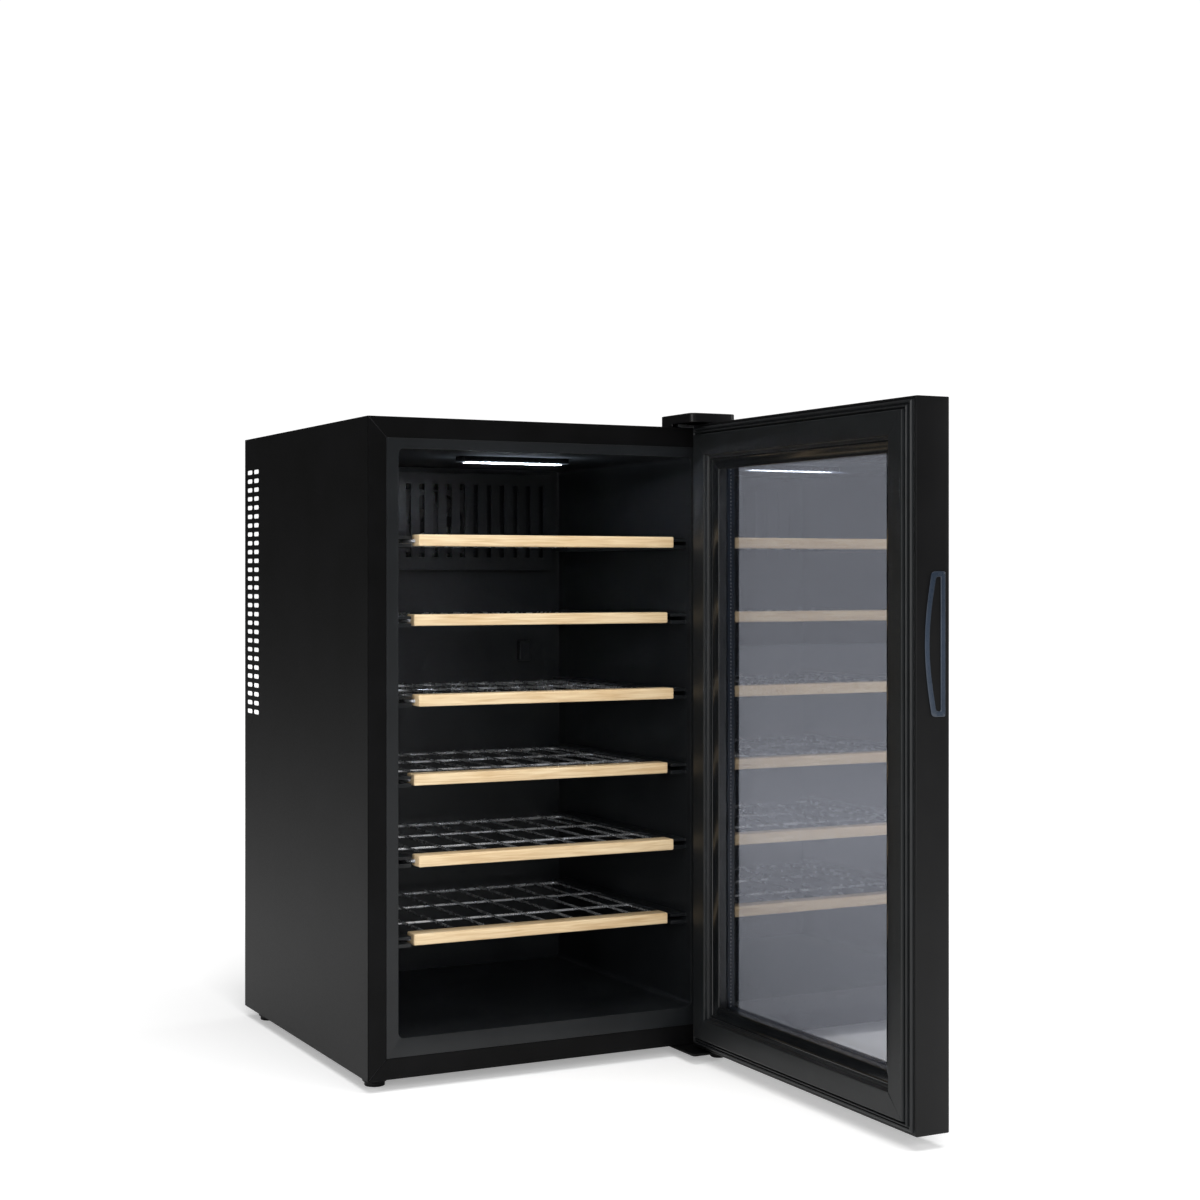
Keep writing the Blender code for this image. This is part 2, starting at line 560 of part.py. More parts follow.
def cooling_unit():
    """The cold-air cover, both fans and sinks, the Peltier module and the covers behind."""
    centre = BASE + STACK_HEIGHT
    slots = [((i - (DUCT_SLOTS - 1) / 2) * DUCT_SLOT_PITCH, DUCT_SLOT_WIDTH, centre - 0.045, centre + 0.047)
             for i in range(DUCT_SLOTS)]
    grille("duct_cover", (-DUCT_WIDTH / 2, FRONT + DUCT_SETBACK, centre - DUCT_HEIGHT / 2),
           (DUCT_WIDTH / 2, CAVITY_HIGH.y - GAP, centre + DUCT_HEIGHT / 2), DUCT_WALL, slots, -1, LINER_PLASTIC)
    fan("cold_fan", COLD_FAN, DUCT_SETBACK + DUCT_WALL + GAP)
    heat_sink("cold_heat_sink", COLD_SINK[0], SINK_FRONT, COLD_SINK[1], 0.005, 18, True)
    box("cold_block", *stack_box(PELTIER[0], SINK_BACK + GAP, PELTIER_FRONT - GAP, -GAP), ALUMINIUM)
    box("peltier_module", *stack_box(PELTIER[0], PELTIER_FRONT, PELTIER_FRONT + PELTIER[1]), CERAMIC)
    heat_sink("hot_heat_sink", HOT_SINK[0], HOT_SINK_FRONT, HOT_SINK[1], 0.005, 22, False)
    fan("hot_fan", HOT_FAN, HOT_FAN_FRONT)
    guard = HOT_SINK[0] / 2 + GUARD_RIM
    slots = [(x * GUARD_PITCH, GUARD_SLOT[0], centre - GUARD_SLOT[1], centre + GUARD_SLOT[1]) for x in range(-4, 5)]
    guard_low = (-guard, BACK_PANEL + SHEET + GAP, centre - guard)
    grille("fan_guard", guard_low, (guard, BACK - 0.0015, centre + guard), 0.002, slots, 1, BLACK_PLASTIC)
    sensor_low = Vector((SENSOR_PLACE[0], CAVITY_HIGH.y - GAP - SENSOR_SIZE[1], BASE + SENSOR_PLACE[1]))
    box("temperature_sensor", sensor_low, sensor_low + Vector(SENSOR_SIZE), LINER_PLASTIC, 0.002, "Y", 2)
    low = Vector((-CONTROL_BOX[0] / 2, BACK_PANEL + SHEET + GAP, BASE + CONTROL_BOX_BASE))
    high = Vector((CONTROL_BOX[0] / 2, BACK_PANEL + SHEET + CONTROL_BOX[1], low.z + CONTROL_BOX[2]))
    tray = box("control_box", low, high, BLACK_PLASTIC)
    wall = CONTROL_WALL
    hollow = (low + Vector((wall, wall, wall)), high + Vector((-wall, OVERCUT, -wall)))
    cut(tray, boxes("control_box_hollow", [hollow], BLACK_PLASTIC))
    gland_place = Vector((GLAND_X, (low.y + high.y) / 2, low.z))
    cut(tray, add_hole("control_box_outlet", gland_place, "Z", GLAND_RADIUS + GAP, OVERCUT))
    box("control_board", (-0.080, low.y + 0.008, low.z + 0.014), (0.080, low.y + 0.0096, high.z - 0.012), BOARD_GREEN)
    box("control_box_lid", (low.x, high.y + GAP, low.z), (high.x, high.y + GAP + wall, high.z), BLACK_PLASTIC)
    turned("cord_gland", [(0.0035, 0.004), (GLAND_RADIUS, 0.004), (GLAND_RADIUS, -GAP), (0.008, -GAP), (0.008, -0.006),
                          (GLAND_RADIUS, -0.016), (0.0035, -0.016)], BLACK_PLASTIC, gland_place, closed=True)


# ------------------------------------------------------------------ door, drawn shut and about its hinge axis
DOOR_MIDDLE = Vector((PIVOT_INSET - DOOR_WIDTH / 2, -PIVOT_INSET, DOOR_BASE + DOOR_HEIGHT / 2))
FREE_END = PIVOT_INSET - DOOR_WIDTH
PANE_FRONT = FRAME_LIP_DEPTH + GAP
SPACER_FRONT = PANE_FRONT + GLASS_THICKNESS + GAP
INNER_PANE_FRONT = SPACER_FRONT + GLASS_SPACE - 2 * GAP
GLASS_BACK = INNER_PANE_FRONT + GLASS_THICKNESS
RETAINER = DOOR_THICKNESS - FRAME_WALL
RIB = 0.036                 # door's edge to the inside of the glazing pocket


def door_ring(name, section, mat):
    """A mitred frame round the whole door, from a section of (inset, depth from the outer face)."""
    bm = bmesh.new()
    add_ring(bm, DOOR_WIDTH, DOOR_HEIGHT, section, Matrix.Translation(DOOR_MIDDLE))
    return finish(bm, name, mat)


def pane(name, front):
    """One sheet of glass."""
    half = Vector((DOOR_WIDTH / 2 - GLASS_EDGE, 0, DOOR_HEIGHT / 2 - GLASS_EDGE))
    low = DOOR_MIDDLE - half + Vector((0, front, 0))
    return box(name, low, DOOR_MIDDLE + half + Vector((0, front + GLASS_THICKNESS, 0)), GLASS)


def grip_outline(margin):
    """The finger grip's outline: straight on the door's front side, bowed on the other."""
    half = GRIP_HEIGHT / 2 - margin
    front = GRIP_FRONT + margin
    outline = [(front, -half), (front, half)]
    steps = 12
    for step in range(steps + 1):
        up = half * (1 - 2 * step / steps)
        bow = GRIP_WIDTH[0] + (GRIP_WIDTH[1] - GRIP_WIDTH[0]) * math.cos(up / half * math.pi / 2)
        outline.append((GRIP_FRONT + bow - margin, up))
    middle = DOOR_BASE + GRIP_CENTRE
    return [(depth - PIVOT_INSET, middle + up) for depth, up in outline]


def door():
    """The door's frame, glazing, seal, grip and touch panel."""
    lip = FRAME_LIP - 0.004
    frame = door_ring("door_frame", [
        (0, 0.0015), (0.0015, 0), (lip, 0), (FRAME_LIP, 0.004), (FRAME_LIP, FRAME_LIP_DEPTH), (RIB, FRAME_LIP_DEPTH),
        (RIB, RETAINER - GAP), (RIB - FRAME_WALL, RETAINER - GAP), (RIB - FRAME_WALL, FRAME_WALL),
        (FRAME_WALL, FRAME_WALL), (FRAME_WALL, DOOR_THICKNESS), (0, DOOR_THICKNESS)], BLACK_PLASTIC)
    cut(frame, prism("door_frame_grip", grip_outline(0.0015), "X", FREE_END - 0.005, FREE_END + 0.010, BLACK_PLASTIC,
                     CUTTERS))
    for number, level in enumerate((DOOR_BASE, DOOR_TOP)):
        cut(frame, add_hole(f"door_frame_bush_{number}", (0, 0, level), "Z", BUSH_RADIUS + GAP))
    panel_low = Vector((DOOR_MIDDLE.x - TOUCH_PANEL[0] / 2, -PIVOT_INSET + GAP, DOOR_TOP - TOUCH_PANEL[1]))
    panel_high = Vector((DOOR_MIDDLE.x + TOUCH_PANEL[0] / 2, -PIVOT_INSET + FRAME_WALL - GAP,
                         DOOR_TOP - TOUCH_PANEL[2]))
    cut(frame, boxes("door_frame_display", [between(panel_low - Vector((0, OVERCUT, 0)), panel_high + Vector((0, OVERCUT, 0)),
                                                    GAP)], BLACK_PLASTIC))
    box("touch_panel", panel_low, panel_high, BLACK_PLASTIC, 0.002, "Y", 3)
    board_y = -PIVOT_INSET + FRAME_WALL + GAP
    box("display_board", (panel_low.x - 0.006, board_y, DOOR_TOP - 0.031),
        (panel_high.x + 0.006, board_y + 0.0016, DOOR_TOP - 0.005), BOARD_GREEN)
    door_ring("door_inner_frame", [
        (FRAME_WALL + GAP, RETAINER), (RIB + GAP, RETAINER), (RIB + GAP, GLASS_BACK + GAP),
        (BEZEL_EDGE, GLASS_BACK + GAP), (BEZEL_EDGE, DOOR_THICKNESS - 0.0025), (GASKET_FLANGE + 0.001, DOOR_THICKNESS),
        (FRAME_WALL + GAP, DOOR_THICKNESS)], BLACK_PLASTIC)
    pane("outer_glass", PANE_FRONT)
    pane("inner_glass", INNER_PANE_FRONT)
    door_ring("glass_spacer", [
        (GLASS_EDGE + 0.004, SPACER_FRONT), (BEZEL_EDGE - 0.001, SPACER_FRONT),
        (BEZEL_EDGE - 0.001, INNER_PANE_FRONT - GAP), (GLASS_EDGE + 0.004, INNER_PANE_FRONT - GAP)], ALUMINIUM)
    seat = DOOR_THICKNESS + GAP
    crown = DOOR_THICKNESS + GASKET_HEIGHT
    door_ring("door_gasket", [
        (0.0035, seat), (GASKET_FLANGE, seat), (GASKET_FLANGE, seat + 0.0015), (0.0195, seat + 0.0015),
        (0.0185, crown - 0.001), (0.0170, crown), (0.0122, crown), (0.0085, crown - 0.0022),
        (0.0035, seat + 0.0025)], GASKET_RUBBER)
    bezel = prism("grip_bezel", grip_outline(0.003), "X", FREE_END + 0.0015, FREE_END + GRIP_DEPTH, BLUE_BLACK_PLASTIC)
    join(bezel, prism("grip_bezel_flange", grip_outline(0.0), "X", FREE_END - GRIP_PROUD, FREE_END - GAP,
                      BLUE_BLACK_PLASTIC, CUTTERS))
    join(bezel, prism("grip_bezel_neck", grip_outline(0.0025), "X", FREE_END - 0.0008, FREE_END + 0.004,
                      BLUE_BLACK_PLASTIC, CUTTERS))
    cut(bezel, prism("grip_bezel_hollow", grip_outline(0.0052), "X", FREE_END - 0.005, FREE_END + GRIP_DEPTH - 0.002,
                     BLUE_BLACK_PLASTIC, CUTTERS))
    for name, level, up in (("lower_door_bush", DOOR_BASE, 1), ("upper_door_bush", DOOR_TOP, -1)):
        inner = PIN_RADIUS + GAP
        # points run right round the sleeve: flange outside the door, sleeve inside it
        bush = turned(name, [(inner, 0.014), (BUSH_RADIUS, 0.014), (BUSH_RADIUS, -GAP), (BUSH_FLANGE[0], -GAP),
                             (BUSH_FLANGE[0], -GAP - BUSH_FLANGE[1]), (inner, -GAP - BUSH_FLANGE[1])], ACETAL,
                      (0, 0, level), closed=True)
        if up < 0:
            bush.rotation_euler = (math.pi, 0, 0)


# ------------------------------------------------------------------ hinges
def hinges():
    """The brackets, pins, cover and screws that carry the door, fixed to the cabinet."""
    reach = PIVOT.y - BRACKET_REACH
    low_x, high_x = RIGHT - HINGE_SPAN[0], RIGHT - HINGE_SPAN[1]
    plate_top = DOOR_TOP + HINGE_SPACE
    step = FRONT - BRACKET_STEP
    rear = FRONT + BRACKET_FOOT[0]
    bracket = prism("upper_hinge_bracket", [
        (reach, plate_top), (step, plate_top), (step, TOP + GAP), (rear, TOP + GAP),
        (rear, TOP + GAP + HINGE_PLATE), (step + HINGE_PLATE, TOP + GAP + HINGE_PLATE),
        (step + HINGE_PLATE, plate_top + HINGE_PLATE), (reach, plate_top + HINGE_PLATE)],
        "X", low_x + 0.004, high_x - 0.005, PIN_STEEL)
    cut(bracket, add_hole("upper_hinge_bracket_hole", (PIVOT.x, PIVOT.y, plate_top), "Z", PIN_RADIUS + GAP, sides=24))
    screw_top = TOP + GAP + HINGE_PLATE + GAP
    for number, offset in enumerate(SCREW_SPOTS):
        x, y = low_x + offset, FRONT + SCREW_SETBACK
        cut(bracket, add_hole(f"upper_hinge_bracket_screw_{number}", (x, y, TOP), "Z", SCREW_RADIUS + GAP, OVERCUT))
        turned(f"upper_hinge_screw_{number + 1}", [
            (0, 0.0026), (0.0025, 0.0026), (0.004, 0.0014), (0.004, 0), (SCREW_RADIUS, 0),
            (SCREW_RADIUS, -HINGE_PLATE),
            (0, -HINGE_PLATE)], PIN_STEEL, (x, y, screw_top), steps=16)
    head = plate_top + HINGE_PLATE + GAP
    turned("upper_hinge_pin", [(0, head + 0.0015), (0.0065, head + 0.0015), (0.0065, head), (PIN_RADIUS, head),
                               (PIN_RADIUS, DOOR_TOP - PIN_REACH), (0, DOOR_TOP - PIN_REACH)],
           PIN_STEEL, (PIVOT.x, PIVOT.y, 0))
    cover_top = TOP + COVER_HEIGHT
    cover_low = Vector((low_x - 0.004, PIVOT.y - HINGE_REACH, TOP + GAP))
    cover_high = Vector((RIGHT - 0.0006, FRONT + COVER_FOOT, cover_top))
    cover = box("upper_hinge_cover", cover_low, cover_high, BLACK_PLASTIC, 0.008, "Z", 4)
    cut(cover, box("upper_hinge_cover_hollow", cover_low + Vector((COVER_WALL, COVER_WALL, -OVERCUT)),
                   cover_high - Vector((COVER_WALL, COVER_WALL, COVER_WALL)), BLACK_PLASTIC, 0.006, "Z", 4, CUTTERS))
    front_gap = ((cover_low.x - OVERCUT, cover_low.y - OVERCUT, TOP - OVERCUT),
                 (RIGHT + OVERCUT, FRONT + GAP, DOOR_TOP + 0.001))
    cut(cover, boxes("upper_hinge_cover_clearance", [front_gap], BLACK_PLASTIC))
    low_plate = Vector((low_x - 0.001, PIVOT.y - HINGE_REACH, BASE - GAP - LOWER_PLATE))
    high_plate = (RIGHT - 0.005, FRONT + BRACKET_FOOT[1], BASE - GAP)
    plate = box("lower_hinge_bracket", low_plate, high_plate, BLACK_STEEL, 0.004, "Z", 3)
    cut(plate, add_hole("lower_hinge_bracket_hole", (PIVOT.x, PIVOT.y, BASE), "Z", PIN_RADIUS + GAP, sides=24))
    boss = low_plate.z - GAP
    turned("lower_hinge_pin", [(0, DOOR_BASE + PIN_REACH), (PIN_RADIUS, DOOR_BASE + PIN_REACH), (PIN_RADIUS, boss),
                               (BOSS_RADIUS, boss), (BOSS_RADIUS, boss - 0.004), (0.008, boss - 0.0062), (0, boss - 0.0062)],
           BLACK_STEEL, (PIVOT.x, PIVOT.y, 0))


# ------------------------------------------------------------------ shelves
def rack(name, place):
    """A wire rack: a square rim, two cross bars and the bars that cradle the bottles."""
    bm = bmesh.new()
    sides = 8
    section = [(RIM_WIRE / 2 * (1 + math.cos(a)), RIM_WIRE / 2 * math.sin(a))
               for a in [(k + 0.5) * 2 * math.pi / sides for k in range(sides)]]
    flat = Matrix.Rotation(math.pi / 2, 4, "X")
    add_ring(bm, RACK_WIDTH, RACK_LENGTH, section, flat)
    rim = finish(bm, name, WIRE)
    bm = bmesh.new()
    inner = RIM_WIRE / 2
    for number in range(CROSS_BARS):
        y = RACK_LENGTH * ((number + 1) / (CROSS_BARS + 1) - 0.5)
        half = RACK_WIDTH / 2 - inner
        add_rod(bm, (-half, y, 0), (half, y, 0), BAR_WIRE / 2, 6)
    bars = finish(bm, name + "_cross", WIRE, CUTTERS)
    bm = bmesh.new()
    pitch = RACK_WIDTH / (BARS / 2) * 0.9
    for number in range(BARS):
        x = (number // 2 - (BARS / 2 - 1) / 2) * pitch + (number % 2 - 0.5) * pitch * 0.48
        half = RACK_LENGTH / 2 - inner
        add_rod(bm, (x, -half, BAR_LIFT), (x, half, BAR_LIFT), BAR_WIRE / 2, 6)
    lengthways = finish(bm, name + "_bars", WIRE, CUTTERS)
    join(rim, bars)
    join(rim, lengthways)
    for piece in (rim, bars, lengthways):
        piece.location = place
    return rim


def shelf(index):
    """One shelf: a beech front board and the wire rack held in its groove."""
    face = FRONT + SHELF_SETBACK - (SHELF_DRAWN if index % 2 == 0 else 0.0)
    level = shelf_level(index)
    middle = level + GROOVE_RISE
    number = index + 1
    rim_front = face + BOARD_DEPTH - 0.012
    board = box(f"shelf_{number}_board", (-BOARD_LENGTH / 2, face, middle - BOARD_HEIGHT / 2),
                (BOARD_LENGTH / 2, face + BOARD_DEPTH, middle + BOARD_HEIGHT / 2), BEECH, 0.001, "X", 2)
    groove = ((-BOARD_LENGTH, rim_front - GAP, level + GROOVE_LOW), (BOARD_LENGTH, face + 0.1, level + GROOVE_HIGH))
    cut(board, boxes(f"shelf_{number}_groove", [groove], BEECH))
    rack(f"shelf_{number}_rack", (0, rim_front + RACK_LENGTH / 2, level))


# ------------------------------------------------------------------ assembly
cabinet()
cooling_unit()
hinges()
for shelf_index in range(SHELVES):
    shelf(shelf_index)

before_door = set(bpy.data.objects)
door()
door_axis = bpy.data.objects.new("door_axis", None)
PARTS.objects.link(door_axis)
door_axis.location = PIVOT
door_axis.rotation_euler = (0, 0, math.radians(DOOR_REST_ANGLE))
for piece in set(bpy.data.objects) - before_door - {door_axis}:
    piece.parent = door_axis
bpy.context.view_layer.update()
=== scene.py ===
"""Looks of a free-standing wine cooler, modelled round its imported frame."""
import json
import math

import bmesh
import bpy
from mathutils import Matrix, Vector


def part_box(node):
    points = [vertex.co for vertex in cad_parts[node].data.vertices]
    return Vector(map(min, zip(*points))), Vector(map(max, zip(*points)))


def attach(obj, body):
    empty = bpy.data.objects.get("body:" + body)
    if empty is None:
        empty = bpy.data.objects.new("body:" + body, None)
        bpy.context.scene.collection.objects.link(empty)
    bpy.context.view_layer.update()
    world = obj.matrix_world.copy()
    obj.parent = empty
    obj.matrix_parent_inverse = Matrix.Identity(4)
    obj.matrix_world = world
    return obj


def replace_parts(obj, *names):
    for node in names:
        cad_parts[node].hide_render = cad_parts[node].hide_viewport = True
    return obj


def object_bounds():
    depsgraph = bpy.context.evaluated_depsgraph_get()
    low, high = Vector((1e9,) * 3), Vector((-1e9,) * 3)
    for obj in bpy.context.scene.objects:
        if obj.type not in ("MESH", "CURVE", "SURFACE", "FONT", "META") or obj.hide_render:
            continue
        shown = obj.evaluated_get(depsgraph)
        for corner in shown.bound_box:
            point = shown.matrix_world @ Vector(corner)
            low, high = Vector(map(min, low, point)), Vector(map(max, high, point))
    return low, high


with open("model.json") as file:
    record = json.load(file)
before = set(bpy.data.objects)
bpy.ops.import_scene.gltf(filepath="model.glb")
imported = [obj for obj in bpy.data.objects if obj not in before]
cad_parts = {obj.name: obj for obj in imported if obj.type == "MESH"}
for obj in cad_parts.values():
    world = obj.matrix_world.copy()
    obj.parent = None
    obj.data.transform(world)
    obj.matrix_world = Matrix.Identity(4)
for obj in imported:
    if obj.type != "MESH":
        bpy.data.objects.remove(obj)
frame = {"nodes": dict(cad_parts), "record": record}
CAD_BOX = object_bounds()
NODES = frame["nodes"]

# ------------------------------------------------------------------ places read from the frame
SIDE_LOW, SIDE_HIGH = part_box("left_side_panel")
RIGHT_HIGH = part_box("right_side_panel")[1]
LEFT, FRONT, BASE = SIDE_LOW
RIGHT, BACK, TOP = RIGHT_HIGH.x, SIDE_HIGH.y, SIDE_HIGH.z
BODY_OF = {node: body for body, nodes in frame["record"]["behaviour"]["bodies"].items() for node in nodes}
SLOT_OF = {part["node"]: part["material_slot"] for part in frame["record"]["subparts"]}

# ------------------------------------------------------------------ camera, floor and light
CAMERA_PLACE = Vector((-0.760, -2.036, 0.538))   # from the cabinet's lower left front corner
CAMERA_TURN = math.radians(-27.0)
CAMERA_LENS = 60.87
CAMERA_SENSOR = 36.0
CAMERA_SHIFT = -23 / 1200
FLOOR_HALF = 12.0
FLOOR_GLOW = {"From Min": 0.5, "From Max": 2.6, "To Min": 0.30, "To Max": 1.05}
ROOM_SEEN = 1.05             # the world's strength where it is looked at
ROOM_DIFFUSE = 0.16          # its strength on matt surfaces
ROOM_GLOSSY = 0.05           # its strength in reflections
AIM = Vector((0, 0, 0.4))
LAMPS = (                    # name, place, size and watts
    ("front_box", (-0.9, -3.6, 1.5), (1.4, 1.8), 75),
    ("top_box", (0.0, -0.6, 3.2), (3.0, 3.0), 95),
    ("left_strip", (-3.0, -1.6, 1.2), (0.5, 2.2), 40),
    ("right_box", (3.0, -1.2, 1.4), (0.8, 2.0), 22))
SPILL_DROP = 0.010           # from the cabinet lamp's lens down to the light it spills
SPILL_SIZE = (0.11, 0.02)
SPILL_WATTS = 1.6


def set_camera():
    """A level camera to the front left, aimed past the open door."""
    data = bpy.data.cameras.new("camera")
    data.sensor_width = CAMERA_SENSOR
    data.lens = CAMERA_LENS
    data.shift_y = CAMERA_SHIFT
    camera = bpy.data.objects.new("camera", data)
    camera.location = Vector((LEFT, FRONT, BASE)) + CAMERA_PLACE
    camera.rotation_euler = (math.radians(90), 0, CAMERA_TURN)
    bpy.context.scene.collection.objects.link(camera)
    bpy.context.scene.camera = camera


def add_light(name, place, aim, size, power, colour=(1, 1, 1)):
    """A rectangular soft box aimed at a point."""
    data = bpy.data.lights.new(name, "AREA")
    data.shape = "RECTANGLE"
    data.size, data.size_y = size
    data.energy = power
    data.color = colour
    lamp = bpy.data.objects.new(name, data)
    lamp.location = place
    lamp.rotation_euler = (Vector(aim) - Vector(place)).to_track_quat("-Z", "Y").to_euler()
    bpy.context.scene.collection.objects.link(lamp)
    return lamp


# ------------------------------------------------------------------ node helpers
def linear(code):
    """An sRGB hex colour as linear RGBA."""
    parts = [int(code[i:i + 2], 16) / 255 for i in (0, 2, 4)]
    return tuple(c / 12.92 if c <= 0.04045 else ((c + 0.055) / 1.055) ** 2.4 for c in parts) + (1.0,)


def add(tree, kind, settings=None, inputs=None):
    """Add a node; inputs are values, or output sockets to link from."""
    node = tree.nodes.new("ShaderNode" + kind)
    for key, value in (settings or {}).items():
        setattr(node, key, value)
    for key, value in (inputs or {}).items():
        if isinstance(value, bpy.types.NodeSocket):
            tree.links.new(value, node.inputs[key])
        else:
            node.inputs[key].default_value = value
    return node


def surface(name, colour, roughness, **more):
    """A new material; returns it with its tree, shader and Object coordinates."""
    made = bpy.data.materials.new(name)
    made.use_nodes = True
    tree = made.node_tree
    shader = tree.nodes["Principled BSDF"]
    shader.inputs["Base Color"].default_value = linear(colour)
    shader.inputs["Roughness"].default_value = roughness
    for key, value in more.items():
        shader.inputs[key.replace("_", " ")].default_value = value
    place = add(tree, "TexCoord").outputs["Object"]
    return made, tree, shader, place


def ramp(tree, factor, stops):
    """A colour ramp from (position, hex colour) stops."""
    node = add(tree, "ValToRGB", inputs={"Fac": factor})
    band = node.color_ramp
    while len(band.elements) < len(stops):
        band.elements.new(0.5)
    for element, (position, colour) in zip(band.elements, stops):
        element.position, element.color = position, linear(colour)
    return node.outputs["Color"]


def spread(tree, factor, low, high):
    """Map a 0 to 1 value on to a range."""
    return add(tree, "MapRange", inputs={"Value": factor, "To Min": low, "To Max": high}).outputs["Result"]


def roughen(tree, shader, height, strength, distance):
    """Drive the shader's normal from a height."""
    bump = add(tree, "Bump", inputs={"Height": height, "Strength": strength, "Distance": distance})
    tree.links.new(bump.outputs["Normal"], shader.inputs["Normal"])


def noise(tree, place, size_mm, detail):
    """Noise with features of about one size."""
    inputs = {"Vector": place, "Scale": 1000 / size_mm, "Detail": detail}
    return add(tree, "TexNoise", inputs=inputs).outputs["Fac"]


def grained(name, colours, roughness, grain_mm, depth_mm, patch_mm=60.0, **more):
    """A plain finish with fine grain, and slow changes of tone and gloss across it."""
    made, tree, shader, place = surface(name, colours[0], roughness, **more)
    patch = noise(tree, place, patch_mm, 3.0)
    grain = noise(tree, place, grain_mm, 2.0)
    tree.links.new(ramp(tree, patch, [(0.3, colours[0]), (0.7, colours[1])]), shader.inputs["Base Color"])
    tree.links.new(spread(tree, grain, roughness - 0.05, roughness + 0.07), shader.inputs["Roughness"])
    roughen(tree, shader, grain, 0.35, depth_mm / 1000)
    return made


# ------------------------------------------------------------------ finishes
def powder_coat(name, colours, roughness):
    """Polyester powder coat on steel: satin, with a faint orange peel about 1.5 mm across."""
    return grained(name, colours, roughness, 1.5, 0.05, Specular_IOR_Level=0.12)


def moulded(name, colours, roughness, grain_mm=0.8, level=0.45):
    """Injection-moulded ABS: fine spark-eroded grain, slightly softer gloss in patches."""
    return grained(name, colours, roughness, grain_mm, 0.03, Specular_IOR_Level=level)


def smoked_glass():
    """Tinted, coated float glass: dark to look through and bright as a mirror."""
    made, tree, shader, place = surface("smoked_float_glass", "babcc2", 0.012, IOR=2.3,
                                        Transmission_Weight=1.0)
    wave = noise(tree, place, 180, 1.0)
    roughen(tree, shader, wave, 0.02, 0.0004)
    return made


def beech():
    """Steamed beech, planed and lacquered: pale tan, lengthwise grain lines and short dark flecks."""
    made, tree, shader, place = surface("lacquered_beech", "d9c4a2", 0.42, Coat_Weight=0.25,
                                        Coat_Roughness=0.3)
    # grain lines every 2.5 mm or so, drawn out twenty times as long along X
    along = add(tree, "Mapping", inputs={"Vector": place, "Scale": (20, 400, 400)}).outputs["Vector"]
    lines = add(tree, "TexNoise", inputs={"Vector": along, "Scale": 1.0, "Detail": 4.0, "Distortion": 0.6})
    tone = add(tree, "TexNoise", inputs={"Vector": place, "Scale": 1000 / 90, "Detail": 2.0})
    # flecks 2 mm long and 0.4 mm wide
    stretch = add(tree, "Mapping", inputs={"Vector": place, "Scale": (500, 2200, 2200)}).outputs["Vector"]
    fleck = add(tree, "TexVoronoi", inputs={"Vector": stretch, "Scale": 1.0}).outputs["Distance"]
    grain = ramp(tree, lines.outputs["Fac"], [(0.30, "c8ae89"), (0.50, "d9c4a2"), (0.70, "e6d6b8")])
    broad = ramp(tree, tone.outputs["Fac"], [(0.3, "f4eadb"), (0.7, "fffcf6")])
    mixed = add(tree, "MixRGB", {"blend_type": "MULTIPLY"}, {"Fac": 1.0, "Color1": grain, "Color2": broad})
    marks = ramp(tree, fleck, [(0.05, "c4a37c"), (0.14, "ffffff")])
    final = add(tree, "MixRGB", {"blend_type": "MULTIPLY"},
                {"Fac": 0.35, "Color1": mixed.outputs["Color"], "Color2": marks})
    tree.links.new(final.outputs["Color"], shader.inputs["Base Color"])
    tree.links.new(spread(tree, lines.outputs["Fac"], 0.36, 0.50), shader.inputs["Roughness"])
    roughen(tree, shader, lines.outputs["Fac"], 0.25, 0.0001)
    return made


def bright_wire():
    """Zinc-nickel plated wire: grey, bright, with drawing lines too fine to see and soft stains."""
    made, tree, shader, place = surface("plated_wire", "b4b6b9", 0.25, Metallic=0.8)
    stain = noise(tree, place, 12, 4.0)
    tree.links.new(ramp(tree, stain, [(0.35, "a2a4a7"), (0.65, "cfd1d4")]), shader.inputs["Base Color"])
    tree.links.new(spread(tree, stain, 0.18, 0.36), shader.inputs["Roughness"])
    return made


def metal(name, colours, roughness, grain_mm):
    """Bare metal with a fine grain."""
    return grained(name, colours, roughness, grain_mm, 0.01, 25.0, Metallic=1.0)


def gasket_rubber():
    """Soft PVC gasket extrusion: matt, slightly dusty, with faint drawing lines."""
    return grained("pvc_gasket", ["0d0f10", "131517"], 0.42, 2.0, 0.04, 40.0, Specular_IOR_Level=0.45)


def lit_diffuser():
    """Opal acrylic over a row of cool white LEDs 8 mm apart, each a brighter spot."""
    made, tree, shader, place = surface("opal_acrylic_lit", "f2f6ff", 0.35)
    across = add(tree, "SeparateXYZ", inputs={"Vector": place}).outputs["X"]
    turns = add(tree, "Math", {"operation": "MULTIPLY"}, {0: across, 1: 2 * math.pi / 0.008}).outputs["Value"]
    wave = add(tree, "Math", {"operation": "COSINE"}, {0: turns}).outputs["Value"]
    level = add(tree, "MapRange", {"interpolation_type": "SMOOTHSTEP"},
                {"Value": wave, "From Min": 0.35, "To Min": 0.10, "To Max": 5.0})
    shader.inputs["Emission Color"].default_value = linear("e8f0ff")
    tree.links.new(level.outputs["Result"], shader.inputs["Emission Strength"])
    return made


def circuit_board():
    """FR-4 laminate under green solder mask, with the copper tracks showing as a paler tone."""
    made, tree, shader, place = surface("green_solder_mask", "0d3b22", 0.30)
    cells = add(tree, "TexBrick", inputs={"Vector": place, "Scale": 1000 / 12, "Mortar Size": 0.03,
                                          "Color1": linear("0d3b22"), "Color2": linear("0f4628"),
                                          "Mortar": linear("2f6b41")})
    tree.links.new(cells.outputs["Color"], shader.inputs["Base Color"])
    return made


